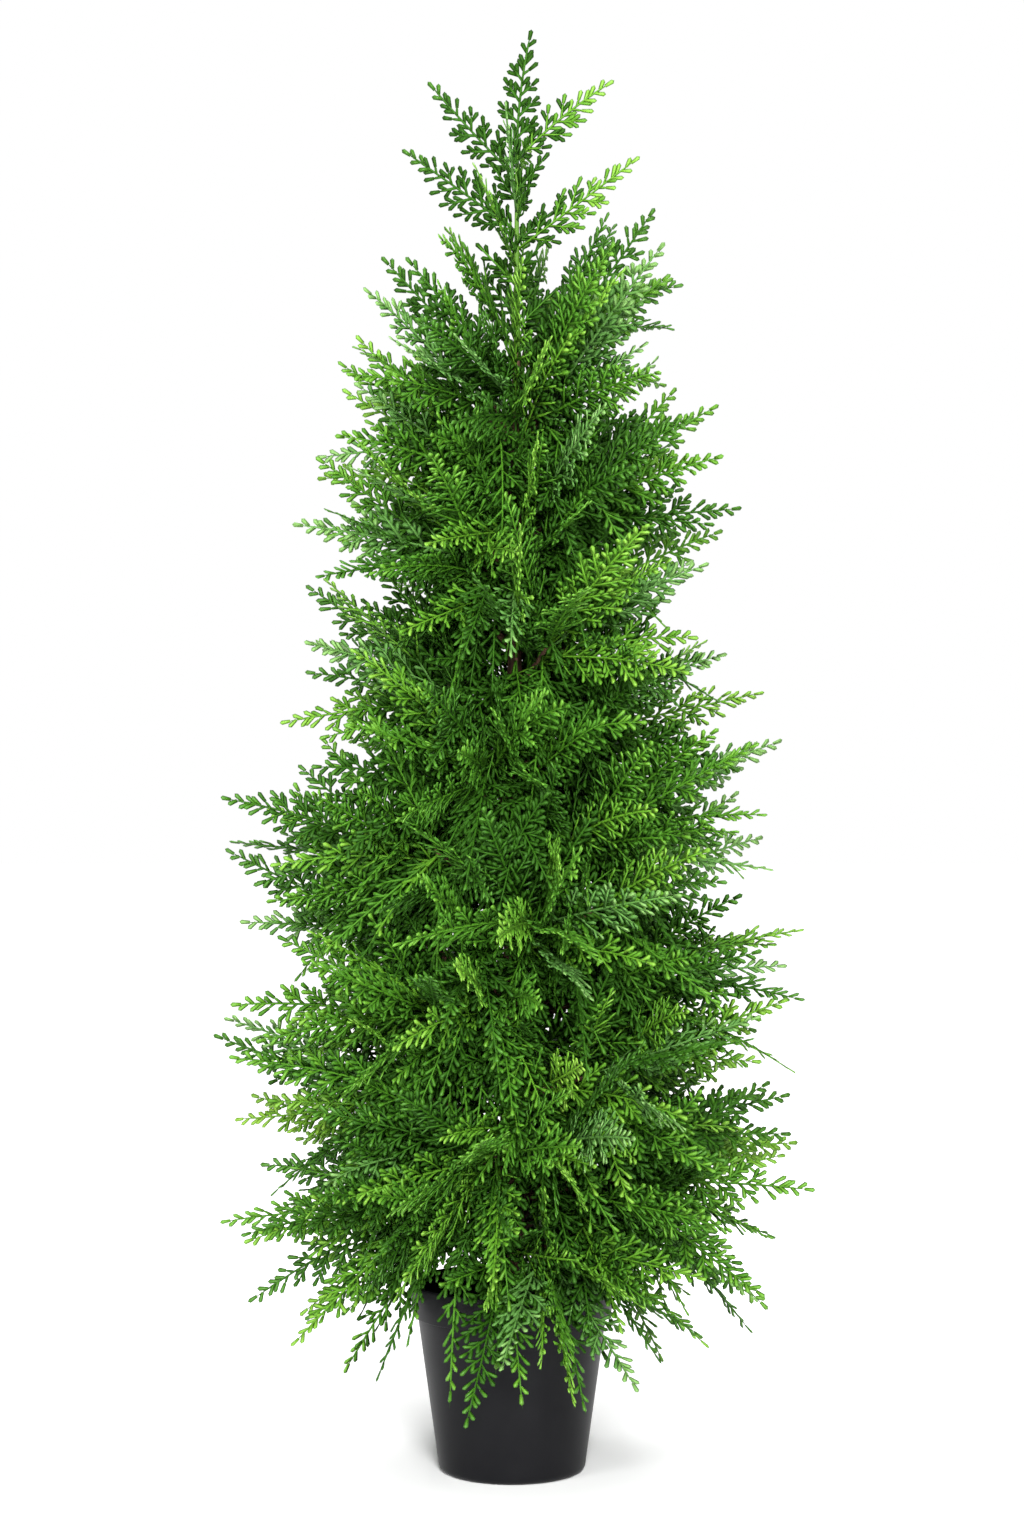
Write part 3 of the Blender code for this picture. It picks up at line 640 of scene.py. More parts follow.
def flattened(along, axis):
    """A direction near an axis, brought closer to it in the upright plane."""
    across = unit(np.cross(axis, UP))
    upward = np.cross(across, axis)
    return unit(along - upward * (1 - MORE_FLATNESS) * float(along @ upward))


def keep(grown, fronds, tips):
    """Adds a frond to a list if it was grown, and if no other frond's tip is close to its own."""
    if grown is None:
        return
    tip = rib_point(grown, 1.0)
    if np.linalg.norm(np.array(tips) - tip, axis=1).min() > MORE_APART:
        fronds.append(grown)
        tips.append(tip)


def grow_more_fronds(own, tips):
    """Fronds between those of the solids, from anywhere along the bough and its stem.

    The first goes straight on from the stem's end. The others are aimed in the same spiral,
    spread more sideways than up and down, and kept where they fit the profile and where no
    other frond of the crown ends close by. The list of tips grows with them.
    """
    draw = random.Random(f"more {own.name}")
    start, end = path_start(own) + STEM_START, path_end(own) - STEM_END
    fronds = []
    for number in range(MORE_TRIES):
        if len(fronds) == wanted_at(own.foot, MORE_FRONDS):
            break
        radius = between((start, end), draw.uniform(0.0, 1.0) ** MORE_CROWDING)
        spread = draw.uniform(*MORE_SPREAD)
        turn = GOLDEN_ANGLE * number + draw.uniform(-TURN_SWAY, TURN_SWAY)
        reach = draw.uniform(*MORE_REACH)
        lying = draw.random() < LYING_SHARE
        if number == 0:
            radius, spread, reach, lying = end, 0.0, 1.0, False
        axis = path_direction(own, radius)
        along = flattened(off_axis(axis, spread, turn), axis)
        seed = f"more {own.name} {number}"
        wanted = free_frond(path_point(own, radius), along, draw, MORE_LENGTHS, lying, seed)
        keep(fitted(wanted, None, reach), fronds, tips)
    return fronds


def grow_hanging_fronds(own, tips):
    """Fronds that hang from the outer part of a stem, with their flat side outwards."""
    draw = random.Random(f"hanging {own.name}")
    start, end = path_start(own) + STEM_START, path_end(own) - STEM_END
    fronds = []
    for number in range(MORE_TRIES):
        if len(fronds) == wanted_at(own.foot, HANGING_MORE):
            break
        radius = between((start, end), draw.uniform(HANGING_FROM, 1.0))
        azimuth = own.azimuth + draw.uniform(-HANGING_SIDEWAYS, HANGING_SIDEWAYS)
        along = rising(azimuth, draw.uniform(*HANGING_SLOPES))
        root = path_point(own, radius)
        seed = f"hanging {own.name} {number}"
        wanted = free_frond(root, along, draw, HANGING_LENGTHS, True, seed)
        keep(fitted(wanted, None, draw.uniform(*MORE_REACH)), fronds, tips)
    return fronds


def grow_leader_twigs():
    """Short slender fronds all the way up the leader stem, in a spiral."""
    draw = random.Random("leader twigs")
    shift = float(trunk_shift(TRUNK_TOP))
    below, taken = LEADER_TWIG_PLACES
    fronds = []
    for number in range(LEADER_TWIGS):
        way = below + taken * number / (LEADER_TWIGS - 1)
        along = leaning(GOLDEN_ANGLE * number, LEADER_TWIG_SPREAD)
        root = np.array([shift, 0.0, TRUNK_TOP + LEADER_STEM * way])
        roll = LEADER_FACING + math.radians(draw.uniform(-LEADER_ROLL, LEADER_ROLL))
        length = draw.uniform(*LEADER_TWIG_LENGTHS)
        half_width = length * LEADER_TWIG_WIDTH
        seed = f"leader twig {number}"
        fronds.append(make_frond(root, along, roll, length, half_width, LEADER_DROOP, seed))
    return fronds


def grow_trunk_fronds():
    """Fronds straight from the trunk, in a spiral, that close the crown's middle.

    Low in the crown they're short. Towards its top they get longer, and reach its outline.
    """
    draw = random.Random("trunk")
    climb = np.linspace(0, 1, TRUNK_FRONDS) ** TRUNK_FROND_CLIMB
    heights = TRUNK_FROND_LOWEST + (TRUNK_TOP - TRUNK_FROND_LOWEST) * climb
    fronds = []
    for number, height in enumerate(heights):
        top = float(np.clip((height - TRUNK_FROND_TOP) / (TRUNK_TOP - TRUNK_FROND_TOP), 0, 1))
        sway = np.interp(top, (0, 1), TRUNK_FROND_SWAY)
        slope = profile_at(height + TRUNK_FROND_AHEAD)[1] + draw.uniform(-sway, sway)
        azimuth = GOLDEN_ANGLE * number + TRUNK_FROND_TURN
        along = rising(azimuth, slope)
        root = outwards(azimuth) * (trunk_radius(height) * TRUNK_FROND_ROOT) + UP * height
        root[0] += trunk_shift(height)
        lengths = np.array(TRUNK_FROND_SHARES) + TRUNK_FROND_GROWTH * top
        lying = draw.random() < LYING_SHARE
        wanted = free_frond(root, along, draw, lengths, lying, f"trunk {number}")
        fronds.append(fitted(wanted, None, np.interp(top, (0, 1), TRUNK_FROND_REACH)))
    return [frond for frond in fronds if frond]


# ---------------------------------------------------------------- fine sprays


def as_ribs(fronds, tints, chance):
    """The fronds as arrays, one row for each."""
    columns = [np.array([getattr(frond, name) for frond in fronds]) for name in Frond._fields[:6]]
    bend = chance.uniform(-RIB_BEND, RIB_BEND, len(fronds))
    return Ribs(*columns, bend, tints)


def rib_at(ribs, rib, share):
    """Point, direction and outward vector at a share of each chosen rib.

    A rib is its root, plus the way ahead, minus its droop and plus its sideways bend, which
    both grow by the square of the share.
    """
    share = share[:, None]
    along, normal = ribs.along[rib], ribs.normal[rib]
    length = ribs.length[rib][:, None]
    sideways = np.cross(normal, along)
    curve = sideways * ribs.bend[rib][:, None] - UP * ribs.droop[rib][:, None]
    point = ribs.root[rib] + (along * share + curve * share**2) * length
    direction = unit(along + 2 * curve * share)
    outward = unit(normal - direction * (normal * direction).sum(1)[:, None])
    return point, direction, outward


def numbered(counts):
    """For counts (2, 3): owners (0, 0, 1, 1, 1) and numbers (0, 1, 0, 1, 2)."""
    owner = np.repeat(np.arange(len(counts)), counts)
    first = np.cumsum(counts) - counts
    return owner, np.arange(len(owner)) - first[owner]


def either_side(number):
    """One side after the other: -1 for even numbers, and 1 for odd ones."""
    return np.where(number % 2 == 0, -1.0, 1.0)


def make_sides(ribs, chance):
    """Side sprays in staggered pairs along every rib, leaning forwards.

    Their length rises from the root of the rib, and is never more than SIDE_TAPER times the
    rib that is still ahead, so that the frond ends in a slender tip.
    """
    last = 1 - (END_STRETCH + SIDE_LAST * SIDE_PITCH) / ribs.length
    pairs = np.round(ribs.length * (last - SIDE_FIRST_SHARE) / SIDE_PITCH).astype(int)
    pairs = np.maximum(1, pairs)
    rib, number = numbered(2 * (pairs + 1))
    side = either_side(number)
    place = number // 2 + np.where(side > 0, SIDE_STAGGER, 0.0)
    share = SIDE_FIRST_SHARE + (last[rib] - SIDE_FIRST_SHARE) * place / (pairs[rib] + SIDE_STAGGER)
    start, direction, outward = rib_at(ribs, rib, share)
    lean = SIDE_LEAN[0] - SIDE_LEAN[1] * share
    angle = SPRAY_ANGLE * lean * chance.uniform(*SIDE_ANGLES, len(rib))
    sway = chance.uniform(-SPRAY_SWAY, SPRAY_SWAY, len(rib))
    along = pair_up(direction, outward, side, angle, sway)
    longest = ribs.half_width[rib] / math.sin(SPRAY_ANGLE)
    longest = longest * np.minimum(SIDE_FIRST + SIDE_GROWTH * share, 1.0)
    length = np.minimum(longest, SIDE_TAPER * (1 - share) * ribs.length[rib])
    length = length * chance.uniform(*SPRAY_LENGTHS, len(rib))
    return Sides(rib, share, start, along, direction, outward, length)


def side_at(sides, chosen, share):
    """Point and direction on side sprays, which bend forwards and down by the share squared."""
    share = share[:, None]
    curve = sides.rib_along[chosen] * SIDE_BEND - UP * SIDE_SAG
    along = sides.along[chosen]
    ahead = along * share + curve * share**2
    point = sides.start[chosen] + ahead * sides.length[chosen][:, None]
    return point, unit(along + 2 * curve * share)


def pair_up(along, outward, side, angle, sway):
    """Directions at an angle to either side of others, in the frond's plane, with some sway."""
    sideways = np.cross(outward, along)
    lean = along * np.cos(angle)[:, None] + sideways * (side * np.sin(angle))[:, None]
    return unit(lean + outward * sway[:, None])


def outwardness(points):
    """How far out points are in the crown: 0 on its axis, 1 at the profile's reach.

    Up its open top the value rises by OPEN_TOP_RISE, since light gets in there.
    """
    out = np.hypot(points[:, 0], points[:, 1]) / profile_at(points[:, 2])[0]
    return out + np.interp(points[:, 2], OPEN_TOP, (0, OPEN_TOP_RISE))


def leaf_shade(root, tint, more, chance):
    """The number of each leaflet's material: two for a tint, and the first of all in the core.
    Light and shade are painted by a leaflet's place: leaflets far out take their tint's lighter,
    lit green, and those in the core the dark green of painted shade.
    """
    out = outwardness(root)
    lighter = out + more > chance.uniform(*LIGHTER_FROM, len(root))
    in_core = out < chance.uniform(*CORE_TO, len(root))
    return np.where(in_core, 0, tint * 2 + 1 + lighter)


def twig_share(sides):
    """The share of each side spray at which its last leaflet begins."""
    return np.maximum(SHORTEST_TWIG, 1 - LAST_LEAFLET * LEAFLET_LENGTH / sides.length)


def side_leaflets(ribs, sides, chance):
    """Leaflets in pairs along every side spray, and one at its end."""
    end = twig_share(sides)
    room = sides.length * end - LEAFLET_FIRST
    pairs = np.maximum(0, np.round(room / LEAFLET_PITCH)).astype(int)
    chosen, number = numbered(2 * pairs + 1)
    is_end = number == 2 * pairs[chosen]
    side = np.where(is_end, 0.0, either_side(number))
    step = (number // 2 + np.where(side > 0, LEAFLET_STAGGER, 0.0)) / np.maximum(1, pairs[chosen])
    first = np.minimum(LEAFLET_FIRST / sides.length[chosen], end[chosen])
    share = first + (end[chosen] - first) * np.minimum(step, 1.0)
    share = np.where(is_end, end[chosen], share)
    root, direction = side_at(sides, chosen, share)
    outward = sides.outward[chosen]
    angle = LEAFLET_ANGLE * chance.uniform(*LEAFLET_ANGLES, len(chosen))
    sway = chance.uniform(-LEAFLET_SWAY, LEAFLET_SWAY, len(chosen))
    along = pair_up(direction, outward, side, angle * np.abs(side), sway)
    length = LEAFLET_LENGTH * (1 - LEAFLET_SHORTENING * share)
    length = length * chance.uniform(*LEAFLET_LENGTHS, len(chosen))
    shade = leaf_shade(root, ribs.tint[sides.rib[chosen]], LIGHTER_TIPS * share, chance)
    return Leaflets(root, along, outward, length, shade)


def rib_leaflets(ribs, sides, chance):
    """A leaflet straight on the rib, beside each side spray and a little ahead of it."""
    rib = sides.rib
    share = sides.share + RIB_LEAFLET_AHEAD / ribs.length[rib]
    root, direction, outward = rib_at(ribs, rib, share)
    side = np.sign((sides.along * np.cross(outward, direction)).sum(1))
    angle = LEAFLET_ANGLE * chance.uniform(*RIB_LEAFLET_ANGLES, len(rib))
    sway = chance.uniform(-LEAFLET_SWAY, LEAFLET_SWAY, len(rib))
    along = pair_up(direction, outward, side, angle, sway)
    length = LEAFLET_LENGTH * chance.uniform(*RIB_LEAFLET_LENGTHS, len(rib))
    shade = leaf_shade(root, ribs.tint[rib], LIGHTER_RIBS, chance)
    return Leaflets(root, along, outward, length, shade)


def end_leaflets(ribs, chance):
    """Single leaflets, one side after the other, on the end stretch of every rib, and its tip."""
    rib, number = numbered(np.full(len(ribs.length), END_LEAFLETS + 1))
    is_end = number == END_LEAFLETS
    side = np.where(is_end, 0.0, either_side(number))
    left = END_STRETCH - (END_STRETCH - LAST_LEAFLET * LEAFLET_LENGTH) * number / END_LEAFLETS
    root, direction, outward = rib_at(ribs, rib, 1 - left / ribs.length[rib])
    angle = LEAFLET_ANGLE * chance.uniform(*RIB_LEAFLET_ANGLES, len(rib))
    sway = chance.uniform(-LEAFLET_SWAY, LEAFLET_SWAY, len(rib)) * END_LEAFLET_SWAY
    along = pair_up(direction, outward, side, angle * np.abs(side), sway)
    first, less = END_LEAFLET_LENGTHS
    length = LEAFLET_LENGTH * (first - less * number / END_LEAFLETS)
    length = np.where(is_end, LEAFLET_LENGTH * LAST_LEAFLET, length)
    shade = leaf_shade(root, ribs.tint[rib], LIGHTER_TIPS, chance)
    return Leaflets(root, along, outward, length, shade)


# ---------------------------------------------------------------- meshes from arrays


def add_mesh(name, points, faces, material, smooth=True):
    """One mesh object at the origin from arrays of points and of triangles or quads."""
    faces = np.asarray(faces, np.int32)
    sides = faces.shape[1]
    mesh = bpy.data.meshes.new(name)
    mesh.vertices.add(len(points))
    mesh.vertices.foreach_set("co", np.asarray(points, np.float32).ravel())
    mesh.loops.add(faces.size)
    mesh.loops.foreach_set("vertex_index", faces.ravel())
    mesh.polygons.add(len(faces))
    mesh.polygons.foreach_set("loop_start", np.arange(len(faces), dtype=np.int32) * sides)
    mesh.polygons.foreach_set("use_smooth", np.full(len(faces), smooth))
    mesh.update(calc_edges=True)
    mesh.validate()
    mesh.materials.append(material)
    made = bpy.data.objects.new(name, mesh)
    bpy.context.scene.collection.objects.link(made)
    return made


def repeated(shapes, faces):
    """Copies of one shape as one mesh: all their points, and its faces counted on for each."""
    offsets = np.arange(len(shapes)) * shapes.shape[1]
    return shapes.reshape(-1, 3), (faces + offsets[:, None, None]).reshape(-1, 3)


def ring_faces(count, turns):
    """Triangles of a closed body: bands between its rings, and a fan from a pole at each end.

    The poles come after the rings' points. Faces look outwards where the rings run from the
    top down, and inwards where they run up.
    """
    here = np.arange(turns)
    after = (here + 1) % turns
    level = np.arange(count - 1)[:, None] * turns
    following = level + turns
    first = np.stack([level + here, following + here, following + after], -1).reshape(-1, 3)
    second = np.stack([level + here, following + after, level + after], -1).reshape(-1, 3)
    last = (count - 1) * turns
    start, end = np.full(turns, count * turns), np.full(turns, count * turns + 1)
    start_fan = np.stack([start, here, after], -1)
    end_fan = np.stack([last + here, end, last + after], -1)
    return np.concatenate([first, second, start_fan, end_fan])


def closed_rings(rings, first_pole, last_pole):
    """Points and triangles of one closed body from its rings and the poles at its ends."""
    points = np.concatenate([rings.reshape(-1, 3), np.array([first_pole, last_pole])])
    return points, ring_faces(*rings.shape[:2])


def angles_round(turns):
    """Angles that go once round in even steps."""
    return 2 * math.pi * np.arange(turns) / turns


def leaflet_template(stalk, widest):
    """A closed club: three-sided rings at its root and where it's widest, and a blunt point.

    Two corners of a ring lie to the sides and one above the middle, so that the club has its
    full width seen from either face.
    """
    corners = []
    for ahead, width in ((0.0, stalk), (widest, 1.0)):
        back, front = LEAFLET_BACK * width, LEAFLET_FRONT * width
        corners += [(ahead, -width, back), (ahead, width, back), (ahead, 0.0, front)]
    corners.append((1.0, 0.0, 0.0))
    faces = [(0, 2, 1)]
    for here, after in ((0, 1), (1, 2), (2, 0)):
        faces.append((here, after, 3 + after))
        faces.append((here, 3 + after, 3 + here))
        faces.append((3 + here, 3 + after, 6))
    return np.array(corners), np.array(faces)


LEAFLET = leaflet_template(LEAFLET_STALK, LEAFLET_WIDEST)


def leaflet_mesh(leaflets):
    """Every leaflet's corners: root + ahead * direction + across its width and thickness."""
    corners, faces = LEAFLET
    across = unit(np.cross(leaflets.outward, leaflets.along))
    through = np.cross(leaflets.along, across)
    wide = across * LEAFLET_HALF_WIDTH
    thick = through * (LEAFLET_HALF_WIDTH * LEAFLET_THICKNESS)
    ahead = leaflets.along * leaflets.length[:, None]
    basis = np.stack([ahead, wide, thick], axis=1)
    return repeated(leaflets.root[:, None, :] + np.einsum("kc,ncx->nkx", corners, basis), faces)


def tube_rings(points, radii, sides, first_normal):
    """Rings of corners along rows of points, square to the path.

    points is (tubes, rings, 3), radii (tubes, rings) and first_normal (tubes, 3). A ring's
    corner is the point + radius * (cos * normal + sin * binormal).
    """
    along = unit(np.gradient(points, axis=1))
    normal = np.broadcast_to(first_normal[:, None, :], points.shape)
    normal = unit(normal - along * (normal * along).sum(-1, keepdims=True))
    binormal = np.cross(along, normal)
    turn = angles_round(sides)
    ring = normal[:, :, None, :] * np.cos(turn)[:, None]
    ring = ring + binormal[:, :, None, :] * np.sin(turn)[:, None]
    return points[:, :, None, :] + ring * radii[:, :, None, None]


def tube_mesh(points, radii, sides, first_normal):
    """Closed tubes along rows of points: rings square to the path, capped at both ends."""
    count, rings = points.shape[:2]
    corners = tube_rings(points, radii, sides, first_normal).reshape(count, rings * sides, 3)
    corners = np.concatenate([corners, points[:, :1], points[:, -1:]], axis=1)
    return repeated(corners, ring_faces(rings, sides)[:, ::-1])


def twig_mesh(points, radii, first_normal):
    """Closed three-sided twigs along rows of points: a face at the root, a point at the end."""
    count, rings = points.shape[:2]
    rings -= 1
    corners = tube_rings(points, radii, 3, first_normal)[:, :-1].reshape(count, rings * 3, 3)
    corners = np.concatenate([corners, points[:, -1:]], axis=1)
    faces = [(0, 2, 1)]
    for here, after in ((0, 1), (1, 2), (2, 0)):
        for low in range(0, 3 * (rings - 1), 3):
            faces.append((low + here, low + after, low + 3 + after))
            faces.append((low + here, low + 3 + after, low + 3 + here))
        faces.append((3 * rings - 3 + here, 3 * rings - 3 + after, 3 * rings))
    return repeated(corners, np.array(faces))


def rib_mesh(ribs, chosen):
    """Twigs along the chosen ribs."""
    shares = np.linspace(0.0, 1.0, RIB_STATIONS)
    rib = np.repeat(chosen, RIB_STATIONS)
    point, _, outward = rib_at(ribs, rib, np.tile(shares, len(chosen)))
    radii = np.broadcast_to(np.interp(shares, (0, 1), RIB_RADII), (len(chosen), RIB_STATIONS))
    return twig_mesh(point.reshape(-1, RIB_STATIONS, 3), radii, outward[::RIB_STATIONS])


def side_mesh(sides, chosen):
    """Twigs along the chosen side sprays, a little way into their last leaflets."""
    shares = np.linspace(0.0, 1.0, SIDE_STATIONS)
    side = np.repeat(chosen, SIDE_STATIONS)
    share = np.tile(shares, len(chosen)) * np.minimum(1.0, twig_share(sides)[side] + TWIG_AHEAD)
    point, _ = side_at(sides, side, share)
    radii = np.broadcast_to(np.interp(shares, (0, 1), SIDE_RADII), (len(chosen), SIDE_STATIONS))
    return twig_mesh(point.reshape(-1, SIDE_STATIONS, 3), radii, sides.outward[chosen])


# ---------------------------------------------------------------- materials


NOISE_RANGE = (0.3, 0.7)  # that a noise's values mostly keep to


def new_material(name, colour, roughness, specular=0.5):
    """A Principled material with plain values, and its node tree, shader and link maker."""
    material = bpy.data.materials.new(name)
    material.use_nodes = True
    tree = material.node_tree
    shader = tree.nodes["Principled BSDF"]
    shader.inputs["Base Color"].default_value = (*colour, 1.0)
    shader.inputs["Roughness"].default_value = roughness
    shader.inputs["Specular IOR Level"].default_value = specular
    return material, tree, shader


def uneven_group():
    """A node group: fine and coarse noise on stretched Object coordinates.

    Its inputs are the sizes of the noise and the stretch, its outputs the coarse value, the
    fine value and their mix.
    """
    group = bpy.data.node_groups.new("uneven_surface", "ShaderNodeTree")
    for name, value in (("Coarse", 40.0), ("Fine", 400.0), ("Mix", 0.5)):
        socket = group.interface.new_socket(name, in_out="INPUT", socket_type="NodeSocketFloat")
        socket.default_value = value
    stretch = group.interface.new_socket("Stretch", in_out="INPUT", socket_type="NodeSocketVector")
    stretch.default_value = (1.0, 1.0, 1.0)
    for name in ("Coarse", "Fine", "Mixed"):
        group.interface.new_socket(name, in_out="OUTPUT", socket_type="NodeSocketFloat")
    nodes, links = group.nodes, group.links
    source = nodes.new("NodeGroupInput")
    result = nodes.new("NodeGroupOutput")
    where = nodes.new("ShaderNodeTexCoord")
    scaled = nodes.new("ShaderNodeVectorMath")
    scaled.operation = "MULTIPLY"
    links.new(where.outputs["Object"], scaled.inputs[0])
    links.new(source.outputs["Stretch"], scaled.inputs[1])
    values = []
    for name, detail in (("Coarse", 6.0), ("Fine", 3.0)):
        noise = nodes.new("ShaderNodeTexNoise")
        noise.inputs["Detail"].default_value = detail
        links.new(scaled.outputs[0], noise.inputs["Vector"])
        links.new(source.outputs[name], noise.inputs["Scale"])
        links.new(noise.outputs["Fac"], result.inputs[name])
        values.append(noise.outputs["Fac"])
    mixed = nodes.new("ShaderNodeMix")
    links.new(source.outputs["Mix"], mixed.inputs["Factor"])
    links.new(values[0], mixed.inputs["A"])
    links.new(values[1], mixed.inputs["B"])
    links.new(mixed.outputs["Result"], result.inputs["Mixed"])
    return group


def use_uneven(tree, group, coarse, fine, mix=0.5, stretch=(1.0, 1.0, 1.0)):
    """The uneven surface's node in a material, with its own sizes, mix and stretch."""
    node = tree.nodes.new("ShaderNodeGroup")
    node.node_tree = group
    for name, value in (("Coarse", coarse), ("Fine", fine), ("Mix", mix), ("Stretch", stretch)):
        node.inputs[name].default_value = value
    return node


def vary_colour(tree, shader, value, stops):
    """A base colour that follows a value through (place, colour) stops."""
    ramp = tree.nodes.new("ShaderNodeValToRGB")
    for number, (place, colour) in enumerate(stops):
        if number < 2:
            element = ramp.color_ramp.elements[number]
            element.position = place
        else:
            element = ramp.color_ramp.elements.new(place)
        element.color = (*colour, 1.0)
    tree.links.new(value, ramp.inputs["Fac"])
    tree.links.new(ramp.outputs["Color"], shader.inputs["Base Color"])


def vary_roughness(tree, shader, value, low, high):
    """Roughness between two values, as a noise goes over the range it mostly keeps to."""
    spread = tree.nodes.new("ShaderNodeMapRange")
    for name, end in zip(("From Min", "From Max"), NOISE_RANGE):
        spread.inputs[name].default_value = end
    spread.inputs["To Min"].default_value = low
    spread.inputs["To Max"].default_value = high
    tree.links.new(value, spread.inputs["Value"])
    tree.links.new(spread.outputs["Result"], shader.inputs["Roughness"])


def add_bump(tree, shader, value, strength, distance):
    """A bump in the surface's normal, as high as the distance where the value is 1."""
    bump = tree.nodes.new("ShaderNodeBump")
    bump.inputs["Strength"].default_value = strength
    bump.inputs["Distance"].default_value = distance
    tree.links.new(value, bump.inputs["Height"])
    tree.links.new(bump.outputs["Normal"], shader.inputs["Normal"])


def pot_material(group):
    """Satin black moulded plastic: faint cloudy roughness and a very fine grain."""
    black = (0.005, 0.005, 0.006)
    material, tree, shader = new_material("pot_plastic", black, roughness=0.42, specular=0.11)
    cloud = use_uneven(tree, group, coarse=26.0, fine=2200.0)
    stops = [(0.30, (0.004, 0.004, 0.005)), (0.72, (0.006, 0.006, 0.007))]
    vary_colour(tree, shader, cloud.outputs["Coarse"], stops)
    vary_roughness(tree, shader, cloud.outputs["Mixed"], low=0.36, high=0.48)
    add_bump(tree, shader, cloud.outputs["Fine"], strength=0.10, distance=0.0003)
    return material


def soil_material(group, name, dark, light):
    """Crumbly potting filler, dark brown with lighter bits."""
    material, tree, shader = new_material(name, dark, roughness=0.95, specular=0.2)
    crumbly = use_uneven(tree, group, coarse=140.0, fine=900.0)
    vary_colour(tree, shader, crumbly.outputs["Mixed"], [(0.36, dark), (0.62, light)])
    add_bump(tree, shader, crumbly.outputs["Mixed"], strength=0.8, distance=0.0012)
    return material


def bark_material(group):
    """Brown bark with fibres drawn out along the trunk."""
    brown = (0.075, 0.040, 0.022)
    material, tree, shader = new_material("brown_bark", brown, roughness=0.85, specular=0.25)
    drawn_out = (1.0, 1.0, 0.14)
    fibres = use_uneven(tree, group, coarse=120.0, fine=700.0, mix=0.45, stretch=drawn_out)
    stops = [
        (0.34, (0.018, 0.010, 0.006)),
        (0.66, (0.120, 0.066, 0.036)),
        (0.50, (0.060, 0.031, 0.017)),
    ]
    vary_colour(tree, shader, fibres.outputs["Mixed"], stops)
    vary_roughness(tree, shader, fibres.outputs["Coarse"], low=0.70, high=0.95)
    add_bump(tree, shader, fibres.outputs["Mixed"], strength=0.7, distance=0.0008)
    return material


# Tints of the sprays, which differ at random from spray to spray: a darker, shaded green of inner
# leaflets and a lighter, lit green of outer ones, both painted light and shade, and the share of
# sprays with it
# Painted shade: the dark green of the leaflets in the crown's core
CORE_SHADE_GREEN = (0.016, 0.062, 0.003)
TWIG_MIX = (0.85, 0.15)  # a twig's green, of a tint's inner and outer ones
TINTS = (
    ("deep", (0.019, 0.076, 0.003), (0.038, 0.130, 0.007), 0.23),
    ("leaf", (0.037, 0.130, 0.006), (0.080, 0.214, 0.014), 0.33),
    ("fresh", (0.062, 0.180, 0.009), (0.126, 0.278, 0.023), 0.25),
    ("grey", (0.060, 0.162, 0.029), (0.128, 0.258, 0.064), 0.14),
    ("lime", (0.086, 0.215, 0.011), (0.158, 0.310, 0.028), 0.05),
)


def leaf_materials():
    """A dark green of painted shade for the core, and two for each tint: a shaded green for its
    inner leaflets and a lighter, lit copy for its outer ones, as painted light.
    """
    made = [new_material("core_green", CORE_SHADE_GREEN, roughness=0.60, specular=0.10)[0]]
    for name, inner, outer, _ in TINTS:
        made.append(new_material(f"{name}_green", inner, roughness=0.60, specular=0.20)[0])
        made.append(new_material(f"{name}_green_outer", outer, roughness=0.50, specular=0.30)[0])
    return made


def twig_materials():
    """A plain green for the ribs and twigs of each tint, between its two leaflet greens."""
    made = []
    for name, inner, outer, _ in TINTS:
        colour = [a * TWIG_MIX[0] + b * TWIG_MIX[1] for a, b in zip(inner, outer)]
        made.append(new_material(f"{name}_twig", colour, roughness=0.60, specular=0.15)[0])
    return made


# ---------------------------------------------------------------- pot and soil


def body_radius(height):
    """The pot's outer radius below its lip, on a straight taper up from its base."""
    top = POT_RIM_RADIUS - LIP_TAPER - LIP_STEP
    return POT_BASE_RADIUS + (top - POT_BASE_RADIUS) * height / (POT_HEIGHT - LIP_HEIGHT)


def corner_arc(middle, radius, start, stop):
    """Points of an arc round a middle, from one angle to another, in degrees."""
    turn = np.radians(np.linspace(start, stop, ROUND_STEPS))
    return np.stack([middle[0] + radius * np.cos(turn), middle[1] + radius * np.sin(turn)], 1)


